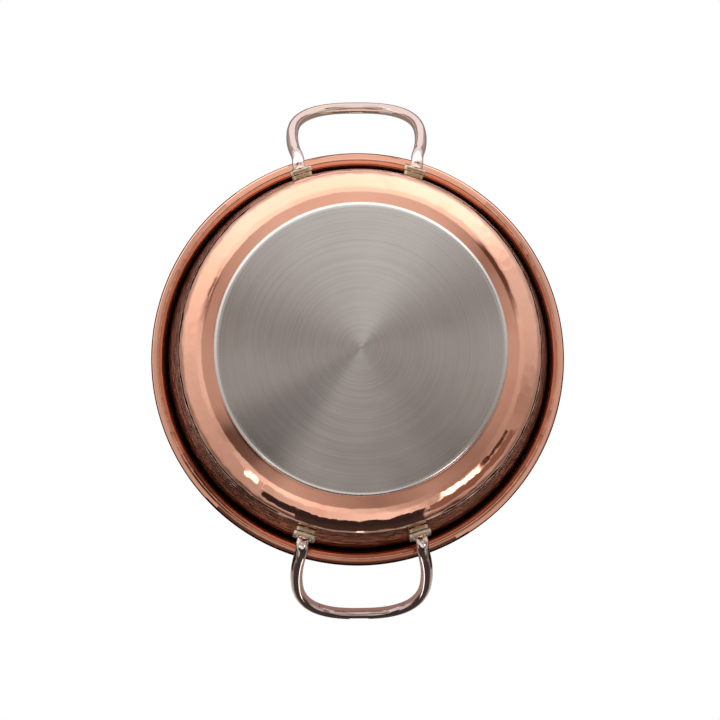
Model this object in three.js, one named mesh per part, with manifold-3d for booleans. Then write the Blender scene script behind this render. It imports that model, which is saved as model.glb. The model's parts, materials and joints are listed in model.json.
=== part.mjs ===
// An electric polenta pot: a hammered copper pot with a steel induction base and two riveted rod handles,
// and a stirring drive that stands on its rim. Millimetres, +Z up, with the origin at the centre of the
// base's underside. The handles point along -Y (front) and +Y (rear), and the crossbar lies along X.
import * as THREE from 'three';
import { mergeVertices } from 'three/addons/utils/BufferGeometryUtils.js';
import Module from 'manifold-3d';

const wasm = await Module();
wasm.setup();

// Clearances that every piece shares
const seatGap = 0.3;        // between two pieces that seat on or pass through each other
const overrun = 2;          // how far a cutting solid runs past the face that it cuts
const weld = 1e-4;          // vertices closer than this are one

// Roundness, in sides
const potSides = 40;
const rodSides = 8;
const turnedSides = 20;
const smallSides = 10;
const rivetSides = 8;

// Pot: copper shell
const potHeight = 140;      // from the hob to the top of the rolled rim
const sheet = 1.6;          // copper thickness
const floorRadius = 83.5;   // flat part of the floor, outside
const cornerRadius = 26;    // outside radius of the corner between floor and wall
const wallLean = degrees(10.9);
const lipBendRadius = 7;
const lipLean = degrees(62);
const lipFlat = 3.5;
const wireRadius = 2;
const curlEnd = degrees(330);

// Pot: induction base
const baseRadius = 85.7;
const baseEdgeRadius = 3.5;
const capSheet = 0.8;
const coreThickness = 4.2;

// Handles
const rodRadius = 3.9;
const footAngle = degrees(17.5);   // from the handle's middle line, round the pot
const footHeight = 50;
const padWidth = 14;
const padLength = 26;
const padThickness = 2.5;
const padCorner = 3;
const spacerWidth = 12;
const spacerLength = 24;
const spacerThickness = 3.2;
const flareRadius = 5.2;           // where the rod widens into its pad
const flareLength = 4;
const gripReach = 174.5;           // pot's axis to the middle of the grip
const gripHeight = 146;
const gripHalfWidth = 41.9;
const shoulderShare = 0.46;        // where the loop is widest, as a share of its length
const loopSquareness = 2.6;        // 2 is an ellipse
const legShares = [0, 0.33, 0.67]; // curve points between the foot and the shoulder
const legStand = 10;               // how far the leg stands off the wall before it turns up
const handleSteps = 32;
const handlePoints = 9;            // curve points on half a loop

// Rivets
const rivetShank = 2.2;
const rivetHead = 3.6;
const rivetHeadHeight = 2.2;
const rivetInnerHead = 4.2;
const rivetInnerHeight = 1.2;
const rivetSpacing = 18.4;
const rivetDomeShares = [[1, 0.25], [0.75, 0.7], [0.4, 0.95]];

// Crossbar: a folded channel that holds two sliding arms
const barWidth = 32;
const barSheet = 1.5;
const barLip = 4;
const armThickness = 4;
const armInset = 1.2;              // its outer end inside the rim's outer edge
const armStop = 39;                // its inner end when it is slid in
const armTravel = 14;
const armCorner = 5;
const tabThickness = 3;
const tabDrop = 28;
const wallPadHeight = 22;          // of the silicone pad between the tab and the wall
const wallPadFoot = 5;             // its thickness at its lower end
const padMargin = 2;               // tab left bare round the pad

// Clamp screws
const clampInset = 16;             // from the crossbar's end to the screw's middle
const clampRoom = 11;              // between the housing's end and the knob
const bossRadius = 7;
const bossHeight = 5;
const screwRadius = 3;
const knobRadius = 11;
const knobGrip = 0.9;              // depth of the knurl
const knobRibs = 18;
const knobHeight = 11;
const knobDish = 1.5;
const knobDishRadius = 7;

// Housing
const houseHalfLength = 60;
const houseHalfWidth = 31;
const houseCorner = 12;
const houseWall = 2.5;
const baseWallHeight = 6;          // from the crossbar to the joint between base and cover
const coverHeight = 42;
const coverEdge = 5;               // rounding of the cover's top edge
const ventCount = 7;
const ventWidth = 2.6;
const ventHeight = 15;
const ventPitch = 6;
const screwInset = 10;             // from the housing's sides to its screws
const screwX = houseHalfLength - screwInset;
const screwY = houseHalfWidth - screwInset;
const coverBossRadius = 4.5;
const coverBossHeight = 18;
const coverRib = 2;
const houseScrewRadius = 1.7;
const houseScrewHead = 3.5;
const houseScrewHeadHeight = 1.8;
const houseScrewLength = 14;
const barScrewRadius = 1.9;
const barScrewHead = 3.2;
const barScrewHeadHeight = 1.6;
const barScrewPlaces = [22, -34];
const barBossRadius = 4;
const barBossHeight = 1.5;
const pillarPlaces = [[-38, 20], [-38, -20], [20.5, 20.5], [20.5, -20.5]];
const pillarRadius = 3.5;
const stakeRadius = 1.6;           // moulded pin that holds the gear plate on its pillar
const stakeHead = 2.8;
const stakeHeadHeight = 1.2;

// Gear train: rotor pinion to idler gear, idler pinion to output gear
const gearModule = 0.8;
const gearTeeth = 48;
const pinionTeeth = 12;
const gearFace = 5;
const toothPlay = 0.14;            // backlash, along the pitch circle
const pressureAngle = degrees(20);
const gearHubRadius = 8;
const dedendumShare = 1.25;        // of the module
const stageGap = 1;                // between the two gear stages
const shaftRadius = 4;
const shaftChamfer = 0.6;
const axleRadius = 2;
const axleSeat = 1.5;              // depth of the axle's blind hole in the housing's floor
const motorShaftRadius = 1.5;
const bushRadius = 6;
const bushFlange = 8;
const bushFlangeThickness = 1.4;
const bushDrop = 3.6;              // how far the bush reaches below the crossbar's top sheet
const sealRadius = 8;
const sealThickness = 2.2;
const clipRadius = 6.8;
const clipThickness = 1;
const clipGroove = 0.7;
const clipMouthShare = 0.8;        // width of the clip's opening, as a share of its bore

// Motor
const plateThickness = 2;
const plateLeft = -46;
const plateRight = 26.5;
const plateHalfWidth = 26.5;
const plateCorner = 11;
const canRadius = 25;
const canHeight = 22;
const canSheet = 1;
const rotorRadius = 16;
const rotorAirGap = 0.6;
const rotorMargin = 2;             // can height left free above and below the rotor

// Switch, inlet, capacitor and leads
const switchX = 42;
const switchLength = 19;
const switchWidth = 13;
const switchDepth = 13;
const switchFlange = 1.6;
const switchBezel = 1.5;
const rockerPivotDrop = 1.6;       // below the cover's top
const rockerTilt = degrees(8);     // to either side of level
const rockerRise = 1.2;            // its ends above the bezel when level
const rockerDip = 0.7;             // its middle below its ends
const rockerDepth = 6.5;
const inletX = 36;
const inletRise = 9;               // above the joint between base and cover
const inletWidth = 17;
const inletHeight = 9;
const inletDepth = 11;
const inletFlange = 1.5;
const inletRim = 1.2;
const socketDepth = 8;
const socketWall = 1.4;
const capacitorRadius = 6;
const capacitorLength = 22;
const capacitorX = 44;
const capacitorY = -8;
const leadRadius = 1.1;
const leadSteps = 10;

// Paddle
const shaftDrop = 38;              // shaft below the crossbar
const hubRadius = 7;
const hubLength = 30;
const hubFloor = 2;                // the socket stops this far above the hub's lower end
const pinRadius = 1.5;
const crossPinLength = 20;
const pinRise = 22;                // cross pin above the hub's lower end
const spindleRadius = 4;
const bladeThickness = 3;
const bladeWidth = 14;
const bladeGap = 5;                // from the copper
const tallArm = 92;                // height of the blade's long arm
const shortArm = 46;
const scraperThickness = 4;
const scraperHeight = 11;
const scraperGap = 1;              // from the copper floor
const scraperStart = 9;
const scraperEnd = 78;
const scraperBevelShare = 0.4;     // of its height and of its thickness

const copper = material(0xc97f5c, 0.3, 1);
const steel = material(0xb9b2ab, 0.35, 1);
const stainless = material(0xc4c4c2, 0.3, 1);
const polished = material(0xcfc4bf, 0.15, 1);
const zinc = material(0x9d9f9f, 0.5, 1);
const aluminium = material(0xb4b6b8, 0.45, 1);
const brass = material(0xb8995a, 0.35, 1);
const bronze = material(0xa8794a, 0.4, 1);
const blackPlastic = material(0x1d1d1f, 0.5, 0);
const redPlastic = material(0xb31c16, 0.3, 0);
const nylon = material(0xe6e0cf, 0.5, 0);
const silicone = material(0x3a3a3c, 0.7, 0);
const beech = material(0xc79a66, 0.6, 0);
const winding = material(0xa35b2c, 0.4, 1);

function degrees(a) {
  return THREE.MathUtils.degToRad(a);
}

function material(color, roughness, metalness) {
  return new THREE.MeshStandardMaterial({ color, roughness, metalness });
}

// Solids

// A closed geometry as a solid that can be cut and joined, with its faces turned outwards.
function solid(geometry) {
  const flat = geometry.index ? geometry.toNonIndexed() : geometry;
  const bare = new THREE.BufferGeometry();
  bare.setAttribute('position', flat.getAttribute('position').clone());
  const merged = mergeVertices(bare, weld);
  const corners = merged.index.array;
  const kept = [];
  for (let i = 0; i < corners.length; i += 3) {
    const [a, b, c] = [corners[i], corners[i + 1], corners[i + 2]];
    if (a !== b && b !== c && c !== a) kept.push(a, b, c);
  }
  const made = (triVerts) => new wasm.Manifold(new wasm.Mesh({
    numProp: 3, vertProperties: merged.attributes.position.array, triVerts: new Uint32Array(triVerts),
  }));
  const first = made(kept);
  return first.volume() > 0 ? first : made(kept.reverse());
}

function geometryOf(body) {
  const mesh = body.getMesh();
  const geometry = new THREE.BufferGeometry();
  geometry.setAttribute('position', new THREE.BufferAttribute(mesh.vertProperties, mesh.numProp));
  geometry.setIndex(new THREE.BufferAttribute(mesh.triVerts, 1));
  geometry.computeVertexNormals();
  return geometry;
}

// Turned about Z from a list of [radius, height] that starts and ends on the axis, or closes on itself.
function turned(profile, sides = turnedSides) {
  const onAxis = profile[0][0] === 0 && profile.at(-1)[0] === 0;
  const ring = onAxis ? profile : [...profile, profile[0]];
  const points = ring.map(([r, z]) => new THREE.Vector2(r, z));
  return solid(new THREE.LatheGeometry(points, sides).rotateX(Math.PI / 2));
}

// A round bar along Z from low to high.
function rod(radius, low, high, sides = turnedSides) {
  return turned([[0, low], [radius, low], [radius, high], [0, high]], sides);
}

// A washer or tube along Z.
function tube(inner, outer, low, high, sides = turnedSides) {
  return turned([[inner, low], [outer, low], [outer, high], [inner, high]], sides);
}

// A flat outline in X and Y, raised from low to high.
function prism(shape, low, high, curveSegments = smallSides) {
  const made = new THREE.ExtrudeGeometry(shape, { depth: high - low, bevelEnabled: false, curveSegments });
  return solid(made.translate(0, 0, low));
}

function block(x0, x1, y0, y1, z0, z1) {
  const made = new THREE.BoxGeometry(x1 - x0, y1 - y0, z1 - z0);
  return solid(made.translate((x0 + x1) / 2, (y0 + y1) / 2, (z0 + z1) / 2));
}

// A rectangle about the origin with round corners.
function plateOutline(width, length, radius) {
  return roundedRect(-width / 2, width / 2, -length / 2, length / 2, radius);
}

function roundedRect(x0, x1, y0, y1, radius) {
  const shape = new THREE.Shape();
  shape.moveTo(x0 + radius, y0);
  shape.lineTo(x1 - radius, y0);
  shape.absarc(x1 - radius, y0 + radius, radius, -Math.PI / 2, 0);
  shape.lineTo(x1, y1 - radius);
  shape.absarc(x1 - radius, y1 - radius, radius, 0, Math.PI / 2);
  shape.lineTo(x0 + radius, y1);
  shape.absarc(x0 + radius, y1 - radius, radius, Math.PI / 2, Math.PI);
  shape.lineTo(x0, y0 + radius);
  shape.absarc(x0 + radius, y0 + radius, radius, Math.PI, Math.PI * 1.5);
  return shape;
}

// A round section of the given radius swept along a curve.
function swept(curve, radius, steps, sides) {
  const section = new THREE.Shape();
  const corners = Array.from({ length: sides }, (_, i) => (i * 2 * Math.PI) / sides);
  corners.forEach((a, i) => section[i ? 'lineTo' : 'moveTo'](radius * Math.cos(a), radius * Math.sin(a)));
  return solid(new THREE.ExtrudeGeometry(section, { steps, extrudePath: curve, bevelEnabled: false }));
}

function placed(body, matrix) {
  return body.transform(matrix.elements);
}

function moved(body, x, y, z) {
  return placed(body, new THREE.Matrix4().makeTranslation(x, y, z));
}

function turnedAboutZ(body, angle) {
  return placed(body, new THREE.Matrix4().makeRotationZ(angle));
}

// The sheet's section, drawn by a pen that moves in radius and height. Its heading is measured clockwise
// from straight up. Each stop keeps the sheet's middle and heading. The faces lie half a sheet to each side.
class SheetPen {
  constructor(radius, height, heading) {
    Object.assign(this, { radius, height, heading, stops: [] });
    this.stop();
  }
  stop() {
    this.stops.push([this.radius, this.height, this.heading]);
    return this;
  }
  line(length) {
    this.radius += length * Math.sin(this.heading);
    this.height += length * Math.cos(this.heading);
    return this.stop();
  }
  arc(bend, to, steps) {
    const side = Math.sign(to - this.heading);
    const from = this.heading;
    const [r0, z0] = [this.radius, this.height];
    for (let i = 1; i <= steps; i++) {
      this.heading = from + ((to - from) * i) / steps;
      this.radius = r0 + side * bend * (Math.cos(from) - Math.cos(this.heading));
      this.height = z0 + side * bend * (Math.sin(this.heading) - Math.sin(from));
      this.stop();
    }
    return this;
  }
  face(offset) {
    return this.stops.map(([r, z, a]) => [r + offset * Math.cos(a), z - offset * Math.sin(a)]);
  }
}

// Pot: places worked out from its sizes
const shellUnderside = capSheet + coreThickness;
const floorTop = shellUnderside + sheet;
const curlRadius = wireRadius + seatGap + sheet / 2;
const cornerTop = {
  radius: floorRadius + cornerRadius * Math.cos(wallLean),
  height: shellUnderside + cornerRadius * (1 - Math.sin(wallLean)),
};
const lipRise = lipBendRadius * (Math.sin(lipLean) - Math.sin(wallLean)) + lipFlat * Math.cos(lipLean)
  + curlRadius * (1 - Math.sin(lipLean)) + sheet / 2;
const wallTop = potHeight - lipRise - (sheet / 2) * Math.sin(wallLean);
const mouthRadius = wallRadius(wallTop);

// Outside radius of the straight copper wall at a height, and the radius of its inner face.
function wallRadius(height) {
  return cornerTop.radius + (height - cornerTop.height) * Math.tan(wallLean);
}

function innerRadius(height) {
  return wallRadius(height) - sheet / Math.cos(wallLean);
}

function shellPen() {
  const pen = new SheetPen(0, shellUnderside + sheet / 2, Math.PI / 2);
  const [cornerSteps, lipSteps, curlSteps] = [4, 2, 6];
  pen.line(floorRadius);
  pen.arc(cornerRadius - sheet / 2, wallLean, cornerSteps);
  pen.line((wallTop - cornerTop.height) / Math.cos(wallLean));
  pen.arc(lipBendRadius, lipLean, lipSteps);
  pen.line(lipFlat);
  pen.arc(curlRadius, curlEnd, curlSteps);
  return pen;
}

// The middle of the rolled rim, where its wire lies.
function curlCentre() {
  const radius = mouthRadius - (sheet / 2) * Math.cos(wallLean)
    + lipBendRadius * (Math.cos(wallLean) - Math.cos(lipLean)) + lipFlat * Math.sin(lipLean)
    + curlRadius * Math.cos(lipLean);
  return { radius, height: potHeight - sheet / 2 - curlRadius };
}

// The pot's inside, taken in or let out by a gap, from the floor to the height asked for.
function bowlCurve(gap, top, steps) {
  const radius = cornerRadius - sheet - gap;
  const centreHeight = shellUnderside + cornerRadius;
  const points = [[0, floorTop + gap]];
  for (let i = 0; i <= steps; i++) {
    const a = -Math.PI / 2 + ((Math.PI / 2 - wallLean) * i) / steps;
    points.push([floorRadius + radius * Math.cos(a), centreHeight + radius * Math.sin(a)]);
  }
  const last = points.at(-1);
  points.push([last[0] + (top - last[1]) * Math.tan(wallLean), top]);
  return points;
}

function copperShell() {
  const pen = shellPen();
  const outside = pen.face(sheet / 2);
  const inside = pen.face(-sheet / 2);
  const body = turned([...outside, ...inside.reverse()], potSides);
  return footFrames().reduce((cut, frame) => cut.subtract(placed(rivetHoles(), frame)), body);
}

function rimWire() {
  const { radius, height } = curlCentre();
  const sides = 6;
  const section = Array.from({ length: sides }, (_, i) => {
    const a = (i * 2 * Math.PI) / sides;
    return [radius + wireRadius * Math.cos(a), height + wireRadius * Math.sin(a)];
  });
  return turned(section, potSides);
}

// Points on a quarter of the base's rounded edge, from the underside up.
function edgeArc(centreRadius, centreHeight, radius, steps) {
  return Array.from({ length: steps + 1 }, (_, i) => {
    const a = -Math.PI / 2 + (Math.PI / 2) * (i / steps);
    return [centreRadius + radius * Math.cos(a), centreHeight + radius * Math.sin(a)];
  });
}

function baseCap() {
  const steps = 3;
  const flat = baseRadius - baseEdgeRadius;
  const rimHeight = shellUnderside - seatGap;
  const outer = edgeArc(flat, baseEdgeRadius, baseEdgeRadius, steps);
  const inner = edgeArc(flat, baseEdgeRadius, baseEdgeRadius - capSheet, steps);
  const top = [[baseRadius, rimHeight], [baseRadius - capSheet, rimHeight]];
  return turned([[0, 0], ...outer, ...top, ...inner.reverse(), [0, capSheet]], potSides);
}

function baseCore() {
  const steps = 3;
  const flat = baseRadius - baseEdgeRadius;
  const reach = baseEdgeRadius - capSheet - seatGap;
  const edge = edgeArc(flat, capSheet + reach, reach, steps);
  const radius = flat + reach;
  return turned([[0, capSheet], ...edge, [radius, shellUnderside], [0, shellUnderside]], potSides);
}

// Handles

const facetShare = Math.cos(Math.PI / potSides);

// A foot's frame: X runs round the pot, Y up the wall and Z out of it. Its origin is on the copper,
// at the depth of the middle of a facet.
function footFrame(side, hand) {
  const angle = (side * Math.PI) / 2 - side * hand * footAngle;
  const radial = new THREE.Vector3(Math.cos(angle), Math.sin(angle), 0);
  const vertical = new THREE.Vector3(0, 0, 1);
  const out = radial.clone().multiplyScalar(Math.cos(wallLean));
  out.addScaledVector(vertical, -Math.sin(wallLean));
  const up = radial.clone().multiplyScalar(Math.sin(wallLean));
  up.addScaledVector(vertical, Math.cos(wallLean));
  const along = new THREE.Vector3().crossVectors(up, out);
  const centre = radial.multiplyScalar(wallRadius(footHeight) * facetShare).setZ(footHeight);
  return new THREE.Matrix4().makeBasis(along, up, out).setPosition(centre);
}

function footFrames() {
  return [1, -1].flatMap((side) => [1, -1].map((hand) => footFrame(side, hand)));
}

function rivetHoles() {
  const reach = spacerThickness + padThickness + overrun * 2;
  const hole = rod(rivetShank + seatGap, -sheet - overrun * 2, reach, rivetSides);
  return moved(hole, 0, rivetSpacing / 2, 0).add(moved(hole, 0, -rivetSpacing / 2, 0));
}

// The space outside the pot, a seat gap off the copper, that a foot is trimmed to.
function wallEnvelope() {
  const [low, high] = [footHeight - padLength, footHeight + padLength];
  const radius = (z) => wallRadius(z) + seatGap / Math.cos(wallLean);
  return turned([[0, low], [radius(low), low], [radius(high), high], [0, high]], potSides);
}

function spacer(frame) {
  const outline = plateOutline(spacerWidth, spacerLength, padCorner);
  const raised = prism(outline, -overrun, spacerThickness, 2);
  return placed(raised.subtract(rivetHoles()), frame).subtract(wallEnvelope());
}

const padFoot = spacerThickness + seatGap;
const padFace = padFoot + padThickness;

function handlePad(frame) {
  const outline = plateOutline(padWidth, padLength, padCorner);
  const flare = turned([
    [0, padFace - overrun], [flareRadius, padFace - overrun], [flareRadius, padFace],
    [rodRadius, padFace + flareLength], [0, padFace + flareLength],
  ], smallSides);
  return placed(prism(outline, padFoot, padFace, 2).subtract(rivetHoles()).add(flare), frame);
}

// The rod's middle line, from one pad, round the loop and back to the other pad.
function handleCurve(side) {
  const foot = footFrame(side, 1);
  const inPad = new THREE.Vector3(0, 0, padFace - overrun / 2).applyMatrix4(foot);
  const offPad = new THREE.Vector3(0, 0, padFace + flareLength * 0.6).applyMatrix4(foot);
  const turn = new THREE.Vector3(0, 0, padFace + flareLength).applyMatrix4(foot);
  const grip = new THREE.Vector3(0, side * gripReach, gripHeight);
  const start = new THREE.Vector3(turn.x, turn.y + side * (legStand - flareLength) * 0.5, turn.z + rodRadius);
  const rise = new THREE.Vector3(0, grip.y - start.y, grip.z - start.z);
  const startHalf = Math.abs(start.x);
  const half = [];
  for (let i = 0; i <= handlePoints; i++) {
    const a = (Math.PI / 2) * (i / handlePoints);
    const share = shoulderShare + (1 - shoulderShare) * Math.sin(a) ** (2 / loopSquareness);
    half.push([gripHalfWidth * Math.cos(a) ** (2 / loopSquareness), share]);
  }
  const leg = legShares.map((t) => [
    startHalf + (gripHalfWidth - startHalf) * Math.sin((t * Math.PI) / 2), shoulderShare * t,
  ]);
  const onLoop = ([x, share]) => new THREE.Vector3(x, start.y + rise.y * share, start.z + rise.z * share);
  const oneSide = [inPad, offPad].map((p) => new THREE.Vector3(Math.abs(p.x), p.y, p.z));
  const rightHalf = [...oneSide, ...[...leg, ...half].map(onLoop)];
  const leftHalf = rightHalf.slice(0, -1).reverse().map((p) => new THREE.Vector3(-p.x, p.y, p.z));
  return new THREE.CatmullRomCurve3([...rightHalf, ...leftHalf], false, 'centripetal');
}

function handle(side) {
  const bar = swept(handleCurve(side), rodRadius, handleSteps, rodSides);
  return [1, -1].reduce((body, hand) => body.add(handlePad(footFrame(side, hand))), bar);
}

// A rivet with a low head inside the pot and a domed head on the pad.
function rivet(frame, row) {
  const inside = -sheet - seatGap;
  const outside = padFace + seatGap;
  const dome = rivetDomeShares.map(([r, h]) => [rivetHead * r, outside + rivetHeadHeight * h]);
  const body = turned([
    [0, inside - rivetInnerHeight], [rivetInnerHead * 0.6, inside - rivetInnerHeight],
    [rivetInnerHead, inside - rivetInnerHeight * 0.35], [rivetInnerHead, inside], [rivetShank, inside],
    [rivetShank, outside], [rivetHead, outside], ...dome, [0, outside + rivetHeadHeight],
  ], rivetSides);
  return placed(moved(body, 0, row * (rivetSpacing / 2), 0), frame);
}

// Drive: heights worked out from the rim up
const armLow = potHeight + seatGap;
const armHigh = armLow + armThickness;
const barFloor = potHeight;                 // top of the channel's lips, which the arms slide on
const barLow = barFloor - barSheet;
const barCeiling = armHigh + seatGap;
const barTop = barCeiling + barSheet;
const armWidth = barWidth - 2 * (barSheet + seatGap);
const armInner = armStop + armTravel;
const armOuter = curlCentre().radius + curlRadius + sheet / 2 - armInset;
const wallPadLow = armLow - tabDrop + padMargin;
const tabOuter = innerRadius(wallPadLow) - seatGap - wallPadFoot;
const clampX = houseHalfLength + clampRoom + knobRadius;
const barHalfLength = clampX + clampInset;
const floorUp = barTop + houseWall;         // inside face of the housing's floor
const jointZ = barTop + baseWallHeight;
const coverTop = jointZ + coverHeight;
const outputLow = floorUp + bushFlangeThickness + stageGap;
const outputHigh = outputLow + gearFace;
const idlerLow = outputHigh + stageGap * 2;
const idlerHigh = idlerLow + gearFace;
const plateLow = idlerHigh + stageGap * 2;
const plateHigh = plateLow + plateThickness;
const canTop = plateHigh + canHeight;
const gearDistance = (gearModule * (gearTeeth + pinionTeeth)) / 2;
const idlerX = -gearDistance;
const shaftTop = outputHigh + stageGap / 2;
const shaftBottom = barLow - shaftDrop;

// One folded sheet with a hole for the output bush, for the clamp screws and for the screws into the housing.
function crossbar() {
  const half = barWidth / 2;
  const outer = block(-barHalfLength, barHalfLength, -half, half, barLow, barTop);
  const reach = barHalfLength + overrun;
  const room = block(-reach, reach, barSheet - half, half - barSheet, barFloor, barCeiling);
  const slot = block(-reach, reach, barLip - half, half - barLip, barLow - overrun, barFloor + overrun / 2);
  const hole = (radius, x) => moved(rod(radius + seatGap, barFloor, barTop + overrun, smallSides), x, 0, 0);
  const bushHole = rod(bushRadius + seatGap, barFloor, barTop + overrun);
  const clampHoles = [clampX, -clampX].map((x) => hole(screwRadius, x));
  const cuts = [room, slot, bushHole, ...clampHoles, ...barScrewPlaces.map((x) => hole(barScrewRadius, x))];
  return cuts.reduce((body, cut) => body.subtract(cut), outer);
}

// A flat arm with a tab that hangs inside the pot's mouth. hand is 1 for +X and -1 for -X.
function slidingArm(hand) {
  const half = armWidth / 2;
  const flat = prism(roundedRect(armInner, armOuter, -half, half, armCorner), armLow, armHigh, 4);
  const tab = block(tabOuter - tabThickness, tabOuter, armCorner - half, half - armCorner,
    armLow - tabDrop, armHigh - seatGap);
  const arm = flat.add(tab);
  return hand > 0 ? arm : turnedAboutZ(arm, Math.PI);
}

// The silicone pad between the tab and the copper, trimmed to the wall.
function wallPad(hand) {
  const half = armWidth / 2 - armCorner - padMargin;
  const low = wallPadLow;
  const high = low + wallPadHeight;
  const raw = block(tabOuter, mouthRadius, -half, half, low, high);
  const inside = (z) => innerRadius(z) - seatGap / Math.cos(wallLean);
  const bowl = turned([
    [0, low - overrun], [inside(low - overrun), low - overrun],
    [inside(high + overrun), high + overrun], [0, high + overrun],
  ], potSides);
  const pad = raw.intersect(bowl);
  return hand > 0 ? pad : turnedAboutZ(pad, Math.PI);
}

function clampBoss(hand) {
  const body = tube(screwRadius + seatGap, bossRadius, barTop, barTop + bossHeight, smallSides);
  return moved(body, hand * clampX, 0, 0);
}

function thumbscrew(hand) {
  const outline = new THREE.Shape();
  for (let i = 0; i < knobRibs * 2; i++) {
    const a = (i * Math.PI) / knobRibs;
    const r = knobRadius - (i % 2) * knobGrip;
    outline[i ? 'lineTo' : 'moveTo'](r * Math.cos(a), r * Math.sin(a));
  }
  const low = barTop + bossHeight + seatGap;
  const knob = prism(outline, low, low + knobHeight)
    .subtract(rod(knobDishRadius, low + knobHeight - knobDish, low + knobHeight + overrun));
  const shank = rod(screwRadius, armHigh + seatGap, low + knobDish, smallSides);
  return moved(knob.add(shank), hand * clampX, 0, 0);
}

// Housing

function houseOutline(inset) {
  const [x, y] = [houseHalfLength - inset, houseHalfWidth - inset];
  return roundedRect(-x, x, -y, y, houseCorner - inset);
}

function screwPlaces() {
  return [1, -1].flatMap((x) => [1, -1].map((y) => [x * screwX, y * screwY]));
}

// A pillar under the gear plate, with a moulded pin that is staked over the plate.
function pillar() {
  const staked = plateHigh + seatGap;
  return turned([
    [0, floorUp - overrun / 2], [pillarRadius, floorUp - overrun / 2], [pillarRadius, plateLow],
    [stakeRadius, plateLow], [stakeRadius, staked], [stakeHead, staked],
    [stakeHead / 2, staked + stakeHeadHeight], [0, staked + stakeHeadHeight],
  ], smallSides);
}

// A hole for a housing screw, from low to high.
function screwHole(low, high) {
  return rod(houseScrewRadius + seatGap, low, high, smallSides);
}

function housingBase() {
  const steps = 3;
  const tray = prism(houseOutline(0), barTop, jointZ, steps)
    .subtract(prism(houseOutline(houseWall), floorUp, jointZ + overrun, steps));
  const pillars = pillarPlaces.map(([x, y]) => moved(pillar(), x, y, 0));
  const bosses = barScrewPlaces.map((x) => moved(
    rod(barBossRadius, floorUp - overrun / 2, floorUp + barBossHeight - stageGap / 2, smallSides), x, 0, 0));
  const barScrewHole = rod(barScrewRadius + seatGap, barTop - overrun, floorUp + overrun, smallSides);
  const axleHole = rod(axleRadius + seatGap, floorUp - axleSeat, floorUp + overrun, smallSides);
  const holes = [
    rod(bushRadius + seatGap, barTop - overrun, floorUp + overrun),
    moved(axleHole, idlerX, 0, 0),
    ...barScrewPlaces.map((x) => moved(barScrewHole, x, 0, 0)),
    ...screwPlaces().map(([x, y]) => moved(screwHole(barTop - overrun, floorUp + overrun), x, y, 0)),
  ];
  const joined = [...pillars, ...bosses].reduce((body, more) => body.add(more), tray);
  return holes.reduce((body, hole) => body.subtract(hole), joined);
}

function housingCover() {
  const [steps, bevelSteps] = [3, 2];
  const skin = (inset, top) => {
    const edge = coverEdge - inset;
    const outline = houseOutline(inset + edge);
    const depth = top - jointZ - edge + overrun;
    const bevel = { bevelEnabled: true, bevelThickness: edge, bevelSize: edge, bevelSegments: bevelSteps };
    const made = new THREE.ExtrudeGeometry(outline, { depth, ...bevel, curveSegments: steps });
    return solid(made.translate(0, 0, jointZ - overrun));
  };
  const far = houseHalfLength + overrun;
  const below = block(-far, far, -far, far, jointZ - coverEdge - overrun * 2, jointZ);
  const bosses = screwPlaces().map(([x, y]) => moved(
    rod(coverBossRadius, jointZ, jointZ + coverBossHeight, smallSides), x, y, 0));
  const ribs = screwPlaces().map(([x, y]) => {
    const half = coverRib / 2;
    const wallX = Math.sign(x) * (houseHalfLength - houseWall / 2);
    const wallY = Math.sign(y) * (houseHalfWidth - houseWall / 2);
    const rib = (xs, ys) => block(Math.min(...xs), Math.max(...xs), Math.min(...ys), Math.max(...ys),
      jointZ, jointZ + coverBossHeight);
    return rib([x, wallX], [y - half, y + half]).add(rib([x - half, x + half], [y, wallY]));
  });
  const holes = screwPlaces().map(([x, y]) => moved(
    screwHole(jointZ - overrun, jointZ + coverBossHeight - overrun), x, y, 0));
  const vents = [1, -1].flatMap((side) => Array.from({ length: ventCount }, (_, i) => {
    const x = (i - (ventCount - 1) / 2) * ventPitch;
    const low = canTop - canHeight;
    const wall = side * houseHalfWidth;
    return block(x - ventWidth / 2, x + ventWidth / 2, wall - houseWall - overrun, wall + houseWall + overrun,
      low, low + ventHeight);
  }));
  const inletHalf = inletWidth / 2 + seatGap;
  const inletHole = block(inletX - inletHalf, inletX + inletHalf,
    houseHalfWidth - houseWall - overrun, houseHalfWidth + overrun, inletLow - seatGap, inletHigh + seatGap);
  const [switchHalfX, switchHalfY] = [switchWidth / 2 + seatGap, switchLength / 2 + seatGap];
  const switchHole = block(switchX - switchHalfX, switchX + switchHalfX, -switchHalfY, switchHalfY,
    coverTop - houseWall - overrun, coverTop + overrun);
  const shell = skin(0, coverTop).subtract(skin(houseWall, coverTop - houseWall)).subtract(below);
  const joined = [...bosses, ...ribs].reduce((body, more) => body.add(more), shell);
  return [...holes, ...vents, inletHole, switchHole].reduce((body, hole) => body.subtract(hole), joined);
}

function houseScrew(x, y) {
  const under = barTop - seatGap;
  const head = under - houseScrewHeadHeight;
  return moved(turned([
    [0, head], [houseScrewHead, head], [houseScrewHead, under], [houseScrewRadius, under],
    [houseScrewRadius, under + houseScrewLength], [0, under + houseScrewLength],
  ], smallSides), x, y, 0);
}

function barScrew(x) {
  const under = barCeiling - seatGap;
  const head = under - barScrewHeadHeight;
  const tip = floorUp + barBossHeight - stageGap / 2 - seatGap;
  return moved(turned([
    [0, head], [barScrewHead, head], [barScrewHead, under],
    [barScrewRadius, under], [barScrewRadius, tip], [0, tip],
  ], smallSides), x, 0, 0);
}

// Gear train

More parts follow.
